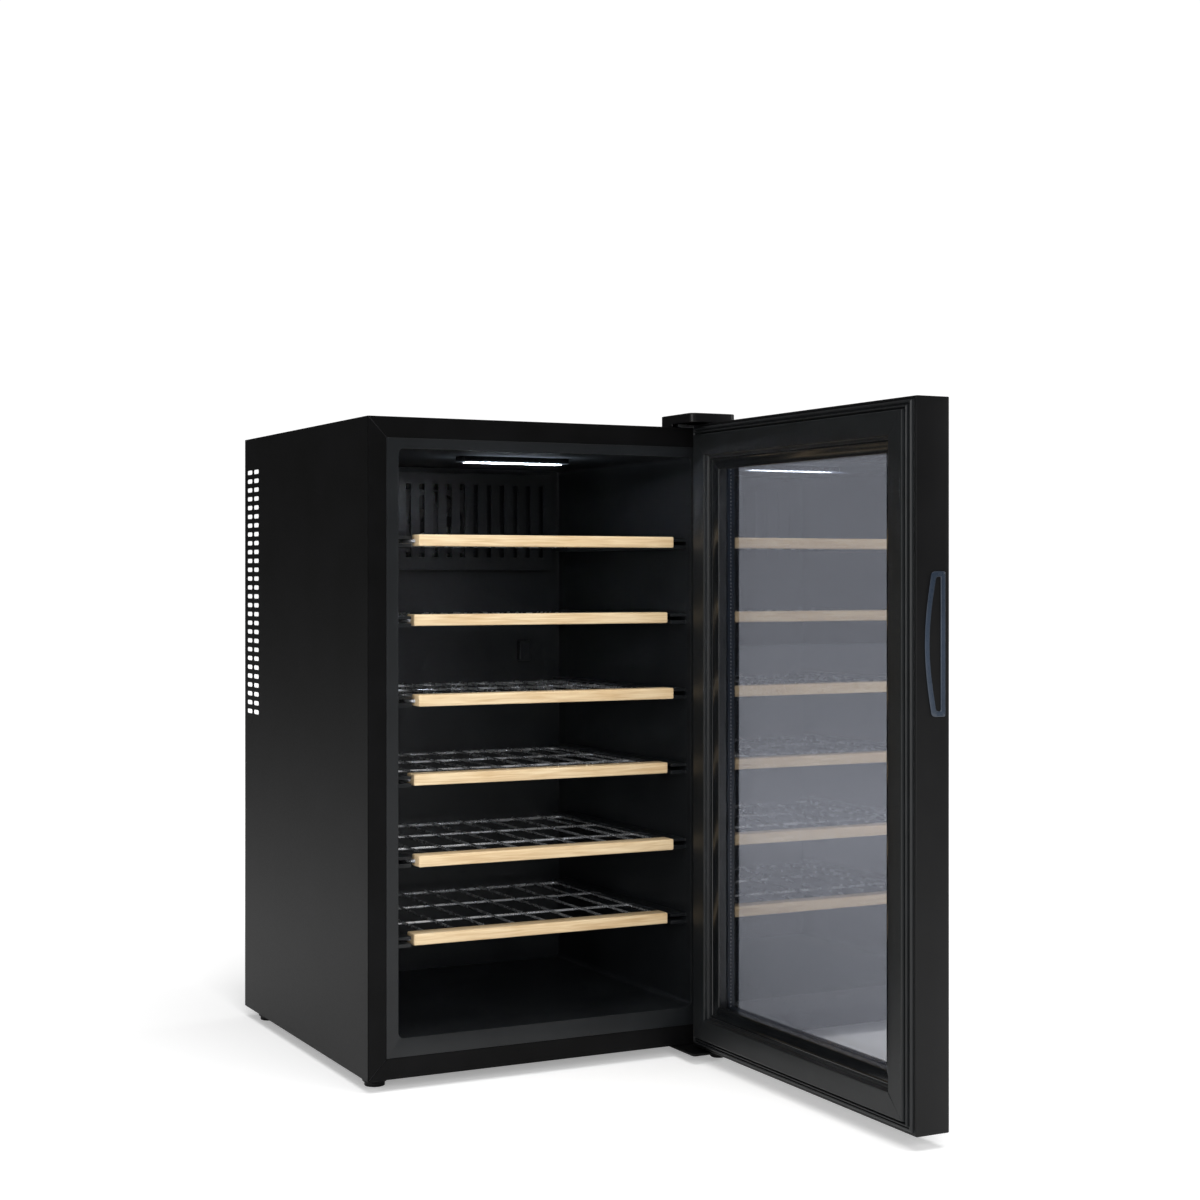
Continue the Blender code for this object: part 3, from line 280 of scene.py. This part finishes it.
# each slot's finish, with what it gives the eye
FINISH = {
    # satin black, faintly pebbled, with almost no mirror
    "black_steel": powder_coat("black_powder_coat", ["050505", "0a0a0b"], 0.40),
    # charcoal with a soft sheen, so the cavity's walls catch the lamp
    "liner_plastic": moulded("charcoal_moulded_liner", ["0f1113", "16181a"], 0.34),
    # the same grain in black, for the door's frame, covers, feet and fans
    "black_plastic": moulded("black_moulded_abs", ["080809", "0d0d0e"], 0.36, level=0.28),
    # glossier, so the door's inner frame shows long highlights
    "door_inner": moulded("charcoal_door_abs", ["0b0c0d", "121416"], 0.17, level=0.6),
    # flat pale grey, a little raised
    "symbol_ink": grained("pad_printed_ink", ["9aa0a6", "a6acb2"], 0.5, 0.6, 0.005),
    # near black and mirror smooth
    "display_glass": grained("dark_display_acrylic", ["020203", "040405"], 0.06, 3.0, 0.002,
                             Specular_IOR_Level=0.6),
    # dark slate blue with a clear sheen
    "grip_plastic": moulded("blue_black_moulded_grip", ["202935", "2c3644"], 0.28, level=0.6),
    # dull dark grey with coarse cells
    "foam": grained("polyurethane_foam", ["2b2b2c", "38383a"], 0.9, 1.2, 0.2),
    "smoked_glass": smoked_glass(),
    "gasket": gasket_rubber(),
    # dull silver
    "aluminium": metal("mill_aluminium", ["b4b6b8", "c4c6c8"], 0.38, 1.0),
    "beech": beech(),
    "shelf_wire": bright_wire(),
    "led_lens": lit_diffuser(),
    # chalky off-white
    "ceramic": grained("alumina_ceramic", ["dcdad2", "eeece6"], 0.5, 1.0, 0.01),
    "circuit_board": circuit_board(),
    # a glossier silver than the aluminium
    "zinc_steel": metal("zinc_plated_steel", ["a9abae", "c2c4c6"], 0.30, 1.5),
    # milky white and slightly waxy
    "acetal": moulded("natural_acetal", ["c9c8c2", "d8d7d2"], 0.45),
}


# ------------------------------------------------------------------ modelling helpers
SHARP = math.radians(32)     # edges that turn more than this are shaded sharp, or rounded


def settle(bm, name, node, finish=None, soften=0.0, segments=3):
    """Turn a bmesh into a piece that rides where a CAD node does and takes its slot."""
    mesh = bpy.data.meshes.new(name)
    bm.to_mesh(mesh)
    bm.free()
    piece = bpy.data.objects.new(name, mesh)
    bpy.context.scene.collection.objects.link(piece)
    mesh.materials.append(finish or FINISH[SLOT_OF[node]])
    mesh.shade_smooth()
    mesh.set_sharp_from_angle(angle=SHARP)
    if soften:
        edge = piece.modifiers.new("edges", "BEVEL")
        edge.width = soften
        edge.segments = segments
        edge.limit_method = "ANGLE"
        edge.angle_limit = SHARP
        edge.harden_normals = True
        edge.use_clamp_overlap = True
    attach(piece, BODY_OF[node])
    return piece


def merged(node):
    """A bmesh of a CAD node, with its loose triangles merged back into flat faces."""
    bm = bmesh.new()
    bm.from_mesh(NODES[node].data)
    bmesh.ops.remove_doubles(bm, verts=bm.verts, dist=0.00001)
    bmesh.ops.dissolve_limit(bm, angle_limit=math.radians(1), verts=bm.verts, edges=bm.edges)
    return bm


def softened(node, radius, segments=3):
    """A CAD node again, with its sharp edges rounded over."""
    piece = settle(merged(node), node + "_formed", node, None, radius, segments)
    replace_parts(piece, node)
    return piece


def add_ring(bm, node, section, axis):
    """A mitred frame that fills a CAD node's outline: (inset, depth) points lofted round its box.

    Depth runs along the axis from the box's low side."""
    low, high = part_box(node)
    deep = "XYZ".index(axis)
    across, up = [i for i in range(3) if i != deep]
    middle = (low + high) / 2
    half = (high - low) / 2
    loops = []
    for sx, sy in ((-1, -1), (1, -1), (1, 1), (-1, 1)):
        loop = []
        for inset, depth in section:
            place = Vector()
            place[across] = middle[across] + sx * (half[across] - inset)
            place[up] = middle[up] + sy * (half[up] - inset)
            place[deep] = low[deep] + depth
            loop.append(bm.verts.new(place))
        for first, second in zip(loop, loop[1:] + loop[:1]):
            bm.edges.new((first, second))
        loops.append(loop)
    for here, there in zip(loops, loops[1:] + loops[:1]):
        edges = [bm.edges.get((a, b)) for loop in (here, there) for a, b in zip(loop, loop[1:] + loop[:1])]
        bmesh.ops.bridge_loops(bm, edges=edges)
    bmesh.ops.recalc_face_normals(bm, faces=bm.faces)


def arc(centre, radius, start, end, steps):
    """Points along an arc, in degrees."""
    angles = [math.radians(start + (end - start) * i / steps) for i in range(steps + 1)]
    return [(centre[0] + radius * math.cos(a), centre[1] + radius * math.sin(a)) for a in angles]


def add_wire(bm, points, radius, sides=12, closed=False):
    """A round wire through points: a circle square to the path at each, bridged, with filled ends."""
    points = [Vector(p) for p in points]
    count = len(points)
    rings = []
    for index, point in enumerate(points):
        before = points[index - 1] if index or closed else point
        after = points[(index + 1) % count] if index < count - 1 or closed else point
        turn = (after - before).to_track_quat("Z", "Y").to_matrix().to_4x4()
        verts = bmesh.ops.create_circle(bm, segments=sides, radius=radius,
                                        matrix=Matrix.Translation(point) @ turn)["verts"]
        rings.append([edge for vert in verts for edge in vert.link_edges])
    pairs = list(zip(rings, rings[1:])) + ([(rings[-1], rings[0])] if closed else [])
    for here, there in pairs:
        bmesh.ops.bridge_loops(bm, edges=list(set(here + there)))
    if not closed:
        bmesh.ops.holes_fill(bm, edges=list(set(rings[0] + rings[-1])), sides=sides)


# ------------------------------------------------------------------ cabinet pieces
def carved(bm, cutter):
    """Cut one bmesh out of another, and return what is left."""
    pair = []
    for part in (bm, cutter):
        mesh = bpy.data.meshes.new("carving")
        part.to_mesh(mesh)
        part.free()
        pair.append(bpy.data.objects.new("carving", mesh))
        bpy.context.scene.collection.objects.link(pair[-1])
    change = pair[0].modifiers.new("cut", "BOOLEAN")
    change.operation = "DIFFERENCE"
    change.solver = "EXACT"
    change.object = pair[1]
    view = bpy.context.evaluated_depsgraph_get()
    left = bmesh.new()
    left.from_mesh(pair[0].evaluated_get(view).to_mesh())
    for part in pair:
        bpy.data.meshes.remove(part.data)    # its object goes with it
    return left


def add_block(bm, low, high):
    """Add a box between two corners."""
    verts = bmesh.ops.create_cube(bm, size=1.0)["verts"]
    bmesh.ops.scale(bm, vec=high - low, verts=verts)
    bmesh.ops.translate(bm, vec=(low + high) / 2, verts=verts)


def add_slab(bm, points, axis, start, end):
    """Add a flat outline, drawn out along an axis; the points are in the two other axes."""
    deep = "XYZ".index(axis)
    others = [i for i in range(3) if i != deep]
    verts = []
    for point in points:
        place = Vector()
        place[others[0]], place[others[1]], place[deep] = point[0], point[1], start
        verts.append(bm.verts.new(place))
    face = bm.faces.new(verts)
    drawn = bmesh.ops.extrude_face_region(bm, geom=[face])["geom"]
    shift = Vector()
    shift[deep] = end - start
    bmesh.ops.translate(bm, vec=shift, verts=[g for g in drawn if isinstance(g, bmesh.types.BMVert)])
    bmesh.ops.recalc_face_normals(bm, faces=bm.faces)


SHEET = 0.0008               # steel panels
FLANGE = (0.021, 0.0225)     # front flange of the sides, and of the top and bottom
SLOT = (0.020, 0.006, 0.011, 28)   # vent slots: length, height, pitch and rows
SLOT_TOP = 0.042             # cabinet top to the first row
SLOT_COLUMNS = (0.020, 0.046)      # cabinet back to the columns' centres
SLOT_EASE = 0.0004           # how much rounder edges draw the slots in
MITRE_GAP = 0.0004           # left open where the flanges meet at the corners
CUT = 0.003                  # how far a cutter reaches past a sheet


def side_panels():
    """Both steel sides: a flat wall with round-ended vent slots, and a mitred front flange."""
    length, height, pitch, rows = SLOT
    for node, side in (("left_side_panel", -1), ("right_side_panel", 1)):
        edge = LEFT if side < 0 else RIGHT
        inner = edge - side * SHEET
        slots = bmesh.new()
        for column in SLOT_COLUMNS:
            for row in range(rows):
                y, z = BACK - column, TOP - SLOT_TOP - row * pitch
                radius = height / 2 - SLOT_EASE
                reach = length / 2 - radius
                outline = arc((y + reach, z), radius, -90, 90, 5) + arc((y - reach, z), radius, 90, 270, 5)
                add_slab(slots, outline, "X", edge - CUT, edge + CUT)
        bm = bmesh.new()
        add_block(bm, Vector((min(edge, inner), FRONT, BASE)), Vector((max(edge, inner), BACK, TOP)))
        bm = carved(bm, slots)
        across = edge - side * FLANGE[0]
        add_slab(bm, [(edge, BASE + MITRE_GAP), (edge, TOP - MITRE_GAP), (across, TOP - FLANGE[1]),
                      (across, BASE + FLANGE[1])], "Y", FRONT, FRONT + SHEET)
        piece = settle(bm, node + "_folded", node, None, 0.0003, 2)
        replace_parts(piece, node)


def cabinet_pieces():
    """Panels, liner, covers and hinge parts with rounded edges."""
    side_panels()
    for node in ("top_panel", "bottom_panel", "back_panel"):
        softened(node, 0.00035, 2)
    softened("inner_liner", 0.0012, 3)
    softened("duct_cover", 0.0006, 2)
    softened("led_housing", 0.0008, 3)
    softened("led_lens", 0.0008, 3)
    softened("upper_hinge_cover", 0.0014, 4)
    softened("upper_hinge_bracket", 0.0003, 2)
    softened("lower_hinge_bracket", 0.0008, 3)
    softened("lower_hinge_pin", 0.0008, 3)
    softened("temperature_sensor", 0.001, 3)
    softened("fan_guard", 0.0009, 3)
    softened("control_box", 0.0009, 3)
    softened("control_box_lid", 0.0009, 3)


SCREW_CROSS = (0.0004, 0.0017)     # half width and reach of the recess's arms
SCREW_INSETS = (0.010, 0.009, 0.007)    # of the rear panel's, the guard's and the lid's screws


def screw_heads(name, places, out):
    """Pan-head screws with a cross recess, on faces that look along Y."""
    heads, crosses = bmesh.new(), bmesh.new()
    thin, long = SCREW_CROSS
    cross = [(thin, long), (thin, thin), (long, thin), (long, -thin), (thin, -thin), (thin, -long),
             (-thin, -long), (-thin, -thin), (-long, -thin), (-long, thin), (-thin, thin), (-thin, long)]
    for place in places:
        profile = [(0, 0), (0.0036, 0), (0.0036, 0.0008), *arc((0.0024, 0.0008), 0.0012, 0, 75, 3),
                   (0, 0.0022)]
        verts = [heads.verts.new(place + Vector((across, out * up, 0))) for across, up in profile]
        edges = [heads.edges.new(pair) for pair in zip(verts, verts[1:])]
        bmesh.ops.spin(heads, geom=verts + edges, cent=place, axis=(0, 1, 0), angle=2 * math.pi, steps=24,
                       use_merge=True)
        reach = sorted((place.y + out * 0.001, place.y + out * 0.004))
        add_slab(crosses, [(place.x + x, place.z + z) for x, z in cross], "Y", reach[0], reach[1])
    bmesh.ops.remove_doubles(heads, verts=heads.verts, dist=0.00002)
    bmesh.ops.recalc_face_normals(heads, faces=heads.faces)
    return settle(carved(heads, crosses), name, "upper_hinge_screw_1")


def corner_places(node, inset, rows=2):
    """Places on a node's rear face, in a column near each side."""
    low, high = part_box(node)
    return [Vector((x, high.y, low.z + inset + (high.z - low.z - 2 * inset) * row / (rows - 1)))
            for x in (low.x + inset, high.x - inset) for row in range(rows)]


def rear_screws():
    """The screws that hold the rear panel, the fan's guard and the control box's lid."""
    panel, guard, lid = SCREW_INSETS
    screw_heads("rear_panel_screws", corner_places("back_panel", panel, 4), 1)
    screw_heads("fan_guard_screws", corner_places("fan_guard", guard), 1)
    screw_heads("control_lid_screws", corner_places("control_box_lid", lid), 1)


STUD = 0.003                 # radius of a foot's stud


def feet():
    """Round moulded feet with eased edges, each turned in one with its stud."""
    for node in ("front_left_foot", "front_right_foot", "rear_left_foot", "rear_right_foot"):
        low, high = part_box(node)
        axis = Vector(((low.x + high.x) / 2, (low.y + high.y) / 2, low.z))
        radius = (high.x - low.x) / 2
        top = BASE - axis.z - 0.0003
        bm = bmesh.new()
        profile = [(0, 0), (0.0102, 0), *arc((0.0102, 0.001), 0.001, -90, 0, 3), (0.0112, 0.004),
                   *arc((radius - 0.0012, 0.0062), 0.0012, -60, 0, 3),
                   *arc((radius - 0.001, top - 0.001), 0.001, 0, 90, 3), (STUD, top),
                   (STUD, high.z - low.z - 0.001), (0.002, high.z - low.z), (0, high.z - low.z)]
        verts = [bm.verts.new(axis + Vector((r, 0, h))) for r, h in profile]
        edges = [bm.edges.new(pair) for pair in zip(verts, verts[1:])]
        bmesh.ops.spin(bm, geom=verts + edges, cent=axis, axis=(0, 0, 1), angle=2 * math.pi, steps=48,
                       use_merge=True)
        bmesh.ops.remove_doubles(bm, verts=bm.verts, dist=0.00002)
        bmesh.ops.recalc_face_normals(bm, faces=bm.faces)
        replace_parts(settle(bm, node + "_turned", node), node)


# ------------------------------------------------------------------ shelves
BOARD_EASE = 0.0016          # rounding along the boards' edges
RIM = 0.002                  # radius of the rim's wire
BAR = 0.0015                 # radius of the bars' wire
RACK_CORNER = 0.012
BAR_PAIRS = 4
PAIRS_SHARE = 0.9            # of the rack's width that the pairs spread over
PAIR_GAP = 0.48              # between the bars of a pair, as a share of the pairs' pitch


def shelves():
    """Beech boards with eased edges, and welded wire racks with round corners."""
    for number in range(1, 7):
        board, rack = f"shelf_{number}_board", f"shelf_{number}_rack"
        low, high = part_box(board)
        bm = bmesh.new()
        add_block(bm, low, high)
        bmesh.ops.bevel(bm, geom=list(bm.edges), offset=BOARD_EASE, offset_type="OFFSET", segments=4,
                        profile=0.5, affect="EDGES", material=-1, clamp_overlap=True)
        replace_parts(settle(bm, board + "_planed", board), board)
        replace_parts(wire_rack(rack), rack)


def wire_rack(node):
    """A rim with bent corners, two cross bars, and bars in pairs welded over them."""
    low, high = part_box(node)
    level = low.z + RIM
    bm = bmesh.new()
    loop = []
    corners = ((high.x, high.y, 0), (low.x, high.y, 90), (low.x, low.y, 180), (high.x, low.y, 270))
    for cx, cy, start in corners:
        inset_x = RACK_CORNER + RIM if cx == high.x else -RACK_CORNER - RIM
        inset_y = RACK_CORNER + RIM if cy == high.y else -RACK_CORNER - RIM
        bend = arc((cx - inset_x, cy - inset_y), RACK_CORNER, start, start + 90, 6)
        loop += [(x, y, level) for x, y in bend]
    add_wire(bm, loop, RIM, closed=True)
    depth = high.y - low.y
    for share in (1 / 3, 2 / 3):
        y = low.y + depth * share
        add_wire(bm, [(low.x + RIM, y, level), (high.x - RIM, y, level)], BAR, 10)
    pitch = (high.x - low.x) / BAR_PAIRS * PAIRS_SHARE
    middle = (low.x + high.x) / 2
    raised = high.z - BAR
    for index in range(2 * BAR_PAIRS):
        pair = index // 2 - (BAR_PAIRS - 1) / 2
        x = middle + pair * pitch + (index % 2 - 0.5) * pitch * PAIR_GAP
        add_wire(bm, [(x, low.y + RIM, raised), (x, high.y - RIM, raised)], BAR, 10)
    bmesh.ops.recalc_face_normals(bm, faces=bm.faces)
    return settle(bm, node + "_welded", node)


# ------------------------------------------------------------------ door pieces
DOOR_AXIS = "X"              # the open door's thickness runs along X, from its inner face to its outer one
GASKET_SEAT = 0.0403         # door's outer face to the gasket's foot
BEAD = 0.0004                # width of the weld beads at the gasket's corners
BEAD_ENDS = (0.0142, 0.0352)
BEAD_DEPTH = 0.0012
HOLE_PITCH = 0.004           # drying holes in the spacer bar, drawn only as painted highlights
GRIP_ENDS = 0.016            # the grip's width at its two ends
GRIP_TURN = 0.0040           # rounding of its corners at the outer edge
BUSH_HOLE = 0.0067
PANEL_GAP = 0.0004           # open round the touch panel


def turned_section(node, section):
    """Turn a section measured from the door's outer face into one measured from the box's low X side."""
    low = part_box(node)[0]
    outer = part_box("door_frame")
    inset = low.z - outer[0].z
    return [(s - inset, outer[1].x - t - low.x) for s, t in section]


def ring_piece(node, section, soften=0.0, finish=None, segments=2):
    """A mitred ring that replaces a CAD ring of the door."""
    bm = bmesh.new()
    add_ring(bm, node, turned_section(node, section), DOOR_AXIS)
    piece = settle(bm, node + "_mitred", node, finish, soften, segments)
    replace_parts(piece, node)
    return piece


def gasket():
    """The magnetic gasket: a broad flat crown that seals on the cabinet, outer ribs and welded corners."""
    seat = GASKET_SEAT
    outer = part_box("door_frame")
    face = outer[1].x
    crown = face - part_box("door_gasket")[0].x
    bm = bmesh.new()
    add_ring(bm, "door_gasket", turned_section("door_gasket", [
        (0.0035, seat), (0.0400, seat), *arc((0.0392, seat + 0.0008), 0.0008, 0, 90, 3),
        (0.0378, seat + 0.0016), (0.0370, seat + 0.0024), *arc((0.0350, crown - 0.0020), 0.0016, 0, 80, 4),
        (0.0250, crown - 0.0001), (0.0150, crown - 0.0001),
        *arc((0.0140, crown - 0.0013), 0.0012, 90, 170, 4),
        (0.0121, seat + 0.0022), (0.0113, seat + 0.0020), (0.0106, seat + 0.0044), (0.0098, seat + 0.0050),
        (0.0090, seat + 0.0044), (0.0084, seat + 0.0016), (0.0072, seat + 0.0014), (0.0064, seat + 0.0028),
        (0.0052, seat + 0.0030), *arc((0.0047, seat + 0.0012), 0.0012, 100, 180, 3)]), DOOR_AXIS)
    middle, half = (outer[0] + outer[1]) / 2, (outer[1] - outer[0]) / 2
    for side in (-1, 1):
        for up in (-1, 1):
            ends = [Vector((middle.y + side * (half.y - inset), middle.z + up * (half.z - inset)))
                    for inset in BEAD_ENDS]
            across = Vector((side, -up)) * BEAD / 2
            points = [ends[0] + across, ends[0] - across, ends[1] - across, ends[1] + across]
            add_slab(bm, points, "X", face - crown, face - crown + BEAD_DEPTH)
    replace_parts(settle(bm, "door_gasket_welded", "door_gasket"), "door_gasket")


def spacer_bar_with_painted_glints():
    """Anodised spacer bar: dark slate, with a row of painted highlights, white spots where its drying holes
    catch the light.
    """
    made, tree, shader = surface("anodised_spacer_bar_painted_glints", "3c4c5e", 0.35, Metallic=0.2)[:3]
    uv = add(tree, "UVMap").outputs["UV"]
    split = add(tree, "SeparateXYZ", inputs={"Vector": uv})
    turns = add(tree, "Math", {"operation": "MULTIPLY"}, {0: split.outputs["X"], 1: 2 * math.pi / HOLE_PITCH})
    wave = add(tree, "Math", {"operation": "COSINE"}, {0: turns.outputs["Value"]})
    off = add(tree, "Math", {"operation": "ABSOLUTE"}, {0: split.outputs["Y"]})
    centred = add(tree, "MapRange", inputs={"Value": off.outputs["Value"], "From Min": 0.0002,
                                            "From Max": 0.0011, "To Min": 1.0, "To Max": -1.0})
    glint_mask = add(tree, "Math", {"operation": "MINIMUM"},
               {0: wave.outputs["Value"], 1: centred.outputs["Result"]})
    # painted highlights: a white spot along the bar's middle for each drying hole stands in for light caught
    # in it
    colour = ramp(tree, glint_mask.outputs["Value"], [(0.1, "3c4c5e"), (0.3, "ffffff")])
    tree.links.new(colour, shader.inputs["Base Color"])
    return made


def grip_points(low, high, margin, steps=20):
    """The grip's outline on the door's end, as (x, z): straight in front, bowed behind, rounded ends."""
    middle = (low.z + high.z) / 2
    half = (high.z - low.z) / 2 - margin
    front = high.x - margin
    ends, mid = GRIP_ENDS, high.x - low.x
    turn = max(GRIP_TURN - margin * 0.4, 0.0008)
    points = [(front, middle - half), (front, middle - half + turn), (front, middle + half - turn),
              (front, middle + half), (front - turn, middle + half)]
    for step in range(steps + 1):
        up = half * (1 - 2 * step / steps)
        bow = ends + (mid - ends) * math.cos(up / half * math.pi / 2)
        points.append((high.x - bow + margin, middle + up))
    points.append((front - turn, middle - half))
    for turns in range(2):
        smooth = []
        for (ax, az), (bx, bz) in zip(points, points[1:] + points[:1]):
            smooth += [(ax * 0.75 + bx * 0.25, az * 0.75 + bz * 0.25),
                       (ax * 0.25 + bx * 0.75, az * 0.25 + bz * 0.75)]
        points = smooth
    return points


def grip():
    """The finger grip in the door's free end: a raised rim round a smooth pocket."""
    low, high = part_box("grip_bezel")
    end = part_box("door_frame")[0].y
    bm = bmesh.new()
    levels = [(0.0, end - 0.0003), (0.0, end - 0.0008), (0.0008, low.y), (0.0048, low.y), (0.0056, end),
              (0.0058, high.y - 0.004), (0.0064, high.y - 0.0026), (0.0066, high.y - 0.0025)]
    loops = []
    for margin, y in levels:
        loop = [bm.verts.new((x, y, z)) for x, z in grip_points(low, high, margin)]
        loops.append([bm.edges.new(pair) for pair in zip(loop, loop[1:] + loop[:1])])
    for here, there in zip(loops, loops[1:]):
        bmesh.ops.bridge_loops(bm, edges=here + there)
    bmesh.ops.holes_fill(bm, edges=loops[-1], sides=0)
    bmesh.ops.holes_fill(bm, edges=loops[0], sides=0)
    bmesh.ops.recalc_face_normals(bm, faces=bm.faces)
    piece = settle(bm, "grip_bezel_moulded", "grip_bezel", None, 0.0008, 2)
    # the pocket behind the rim is a separate black moulding
    piece.data.materials.append(FINISH["black_plastic"])
    for face in piece.data.polygons:
        face.material_index = 1 if face.center.y > end - 0.0005 else 0
    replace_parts(piece, "grip_bezel")


def door_pieces():
    """Frame, inner frame, glazing, gasket, grip and touch panel of the door."""
    free_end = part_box("door_frame")[0].y
    bm = bmesh.new()
    add_ring(bm, "door_frame", turned_section("door_frame", [
        *arc((0.0025, 0.0025), 0.0025, 180, 270, 5), (0.0435, 0), *arc((0.0435, 0.0045), 0.0045, -90, 0, 5),
        (0.0480, 0.009), (0.036, 0.009), (0.036, 0.0367), (0.033, 0.0367), (0.033, 0.003), (0.003, 0.003),
        (0.003, 0.040), *arc((0.0010, 0.039), 0.0010, 90, 180, 3)]), DOOR_AXIS)
    holes = bmesh.new()
    low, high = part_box("grip_bezel")
    add_slab(holes, grip_points(low, high, 0.002), "Y", free_end - 0.002, free_end + 0.010)
    for bush in ("upper_door_bush", "lower_door_bush"):
        low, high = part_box(bush)
        middle = (low + high) / 2
        add_slab(holes, arc((middle.x, middle.y), BUSH_HOLE, 0, 345, 23), "Z", low.z - 0.002, high.z + 0.002)
    low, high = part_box("touch_panel")
    add_block(holes, low - Vector((0.002, PANEL_GAP, PANEL_GAP)),
              high + Vector((0.003, PANEL_GAP, PANEL_GAP)))
    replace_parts(settle(carved(bm, holes), "door_frame_mitred", "door_frame"), "door_frame")
    ring_piece("door_inner_frame", [
        (0.0033, 0.037), (0.0363, 0.037), (0.0363, 0.0274), (0.053, 0.0274), (0.053, 0.0363),
        *arc((0.0518, 0.0363), 0.0012, 0, 75, 4), (0.0430, 0.0392), (0.0420, 0.0400),
        (0.0033, 0.040)], 0.0004, FINISH["door_inner"])
    gasket()
    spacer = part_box("glass_spacer")
    depth = spacer[1].x - spacer[0].x
    bm = bmesh.new()
    add_ring(bm, "glass_spacer", [(0, 0), (0.010, 0), (0.010, depth), (0, depth)], DOOR_AXIS)
    layer = bm.loops.layers.uv.new("UVMap")
    centre = (spacer[0].x + spacer[1].x) / 2
    for face in bm.faces:
        upright = abs(face.normal.y) > 0.5
        for corner in face.loops:
            place = corner.vert.co
            corner[layer].uv = (place.z if upright else place.y, place.x - centre)
    piece = settle(bm, "glass_spacer_mitred", "glass_spacer", spacer_bar_with_painted_glints())
    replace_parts(piece, "glass_spacer")
    grip()
    for node in ("outer_glass", "inner_glass"):
        softened(node, 0.0004, 2)
    softened("touch_panel", 0.0004, 2)
    softened("upper_door_bush", 0.0004, 2)
    softened("lower_door_bush", 0.0004, 2)


MARK_SHARE = 0.16            # a symbol's half height, of the strip's height
MARKS_AT = (-0.040, -0.026, 0.026, 0.040)    # power, light, up and down, from the strip's middle
PRINT = (0.00005, 0.00012)   # how far the ink reaches into the strip and out of it
WINDOW = (0.014, 1.6)        # display window: half width, and half height in symbols


def touch_marks():
    """Printed touch symbols on the control strip: power, light, up and down, beside a plain dark display."""
    low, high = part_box("touch_panel")
    face, level, middle = high.x, (low.z + high.z) / 2, (low.y + high.y) / 2
    size = (high.z - low.z) * MARK_SHARE
    bm = bmesh.new()

    def mark(offset, points):
        outline = [(middle + offset + y, level + z) for y, z in points]
        add_slab(bm, outline, "X", face - PRINT[0], face + PRINT[1])

    power, light, up, down = MARKS_AT
    mark(power, arc((0, 0), size, 120, 420, 18) + arc((0, 0), size * 0.74, 420, 120, 18))
    mark(power, [(-size * 0.12, size * 0.2), (size * 0.12, size * 0.2), (size * 0.12, size * 1.2),
                 (-size * 0.12, size * 1.2)])
    mark(light, arc((0, size * 0.25), size * 0.75, -50, 230, 16)
         + [(-size * 0.4, -size), (size * 0.4, -size)])
    mark(up, [(-size, -size * 0.7), (size, -size * 0.7), (0, size)])
    mark(down, [(-size, size * 0.7), (0, -size), (size, size * 0.7)])
    settle(bm, "touch_symbols", "touch_panel", FINISH["symbol_ink"])
    bm = bmesh.new()
    half, rise = WINDOW[0], size * WINDOW[1]
    add_slab(bm, [(middle - half, level - rise), (middle + half, level - rise),
                  (middle + half, level + rise), (middle - half, level + rise)],
             "X", face - PRINT[0], face + 0.0001)
    settle(bm, "display_window", "touch_panel", FINISH["display_glass"])


# ------------------------------------------------------------------ stage
def set_stage():
    """A flat pale floor whose far part glows like the room, a pale world and soft boxes."""
    bm = bmesh.new()
    bmesh.ops.create_grid(bm, x_segments=1, y_segments=1, size=FLOOR_HALF)
    mesh = bpy.data.meshes.new("floor")
    bm.to_mesh(mesh)
    bm.free()
    floor = bpy.data.objects.new("floor", mesh)
    bpy.context.scene.collection.objects.link(floor)
    floor.location.z = CAD_BOX[0].z
    made, tree, shader, place = surface("pale_floor", "f4f4f4", 0.8, Specular_IOR_Level=0.2)
    # the far floor is lit as evenly as the room behind it, so no horizon shows
    far = add(tree, "VectorMath", {"operation": "LENGTH"}, {0: place}).outputs["Value"]
    glow = add(tree, "MapRange", {"interpolation_type": "SMOOTHSTEP"},
               {"Value": far, **FLOOR_GLOW})
    path = add(tree, "LightPath").outputs
    seen = add(tree, "Math", {"operation": "MAXIMUM"},
               {0: path["Is Camera Ray"], 1: path["Is Transmission Ray"]})
    level = add(tree, "Math", {"operation": "MULTIPLY"},
                {0: glow.outputs["Result"], 1: seen.outputs["Value"]})
    shader.inputs["Emission Color"].default_value = (1.0, 1.0, 1.0, 1.0)
    tree.links.new(level.outputs["Value"], shader.inputs["Emission Strength"])
    mesh.materials.append(made)
    world = bpy.data.worlds.new("pale_room")
    bpy.context.scene.world = world
    world.use_nodes = True
    tree = world.node_tree
    path = add(tree, "LightPath").outputs
    seen = add(tree, "Math", {"operation": "MAXIMUM"},
               {0: path["Is Camera Ray"], 1: path["Is Transmission Ray"]})
    dim = spread(tree, path["Is Glossy Ray"], ROOM_DIFFUSE, ROOM_GLOSSY)
    level = spread(tree, seen.outputs["Value"], dim, ROOM_SEEN)
    tree.links.new(level, tree.nodes["Background"].inputs["Strength"])
    tree.nodes["Background"].inputs["Color"].default_value = (1.0, 1.0, 1.0, 1.0)
    for name, lamp_place, size, watts in LAMPS:
        lamp = add_light(name, lamp_place, AIM, size, watts)
        # the front box is flagged, so it isn't mirrored in the door's glass
        lamp.visible_glossy = name != "front_box"
    # light that the lamp's diffuser spills back on the ceiling
    lamp_low, lamp_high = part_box("led_lens")
    middle = (lamp_low + lamp_high) / 2
    spill = Vector((middle.x, middle.y, lamp_low.z - SPILL_DROP))
    lamp = add_light("lamp_spill", spill, spill + Vector((0, 0.001, 1)), SPILL_SIZE, SPILL_WATTS,
                     (0.88, 0.94, 1.0))
    lamp.visible_camera = False
    lamp.visible_glossy = False
    lamp.visible_transmission = False
    bpy.context.scene.view_settings.view_transform = "Standard"


# ------------------------------------------------------------------ assembly
set_camera()
for node, cad in NODES.items():
    cad.data.materials.clear()
    cad.data.materials.append(FINISH[SLOT_OF[node]])
cabinet_pieces()
rear_screws()
feet()
shelves()
door_pieces()
touch_marks()
set_stage()
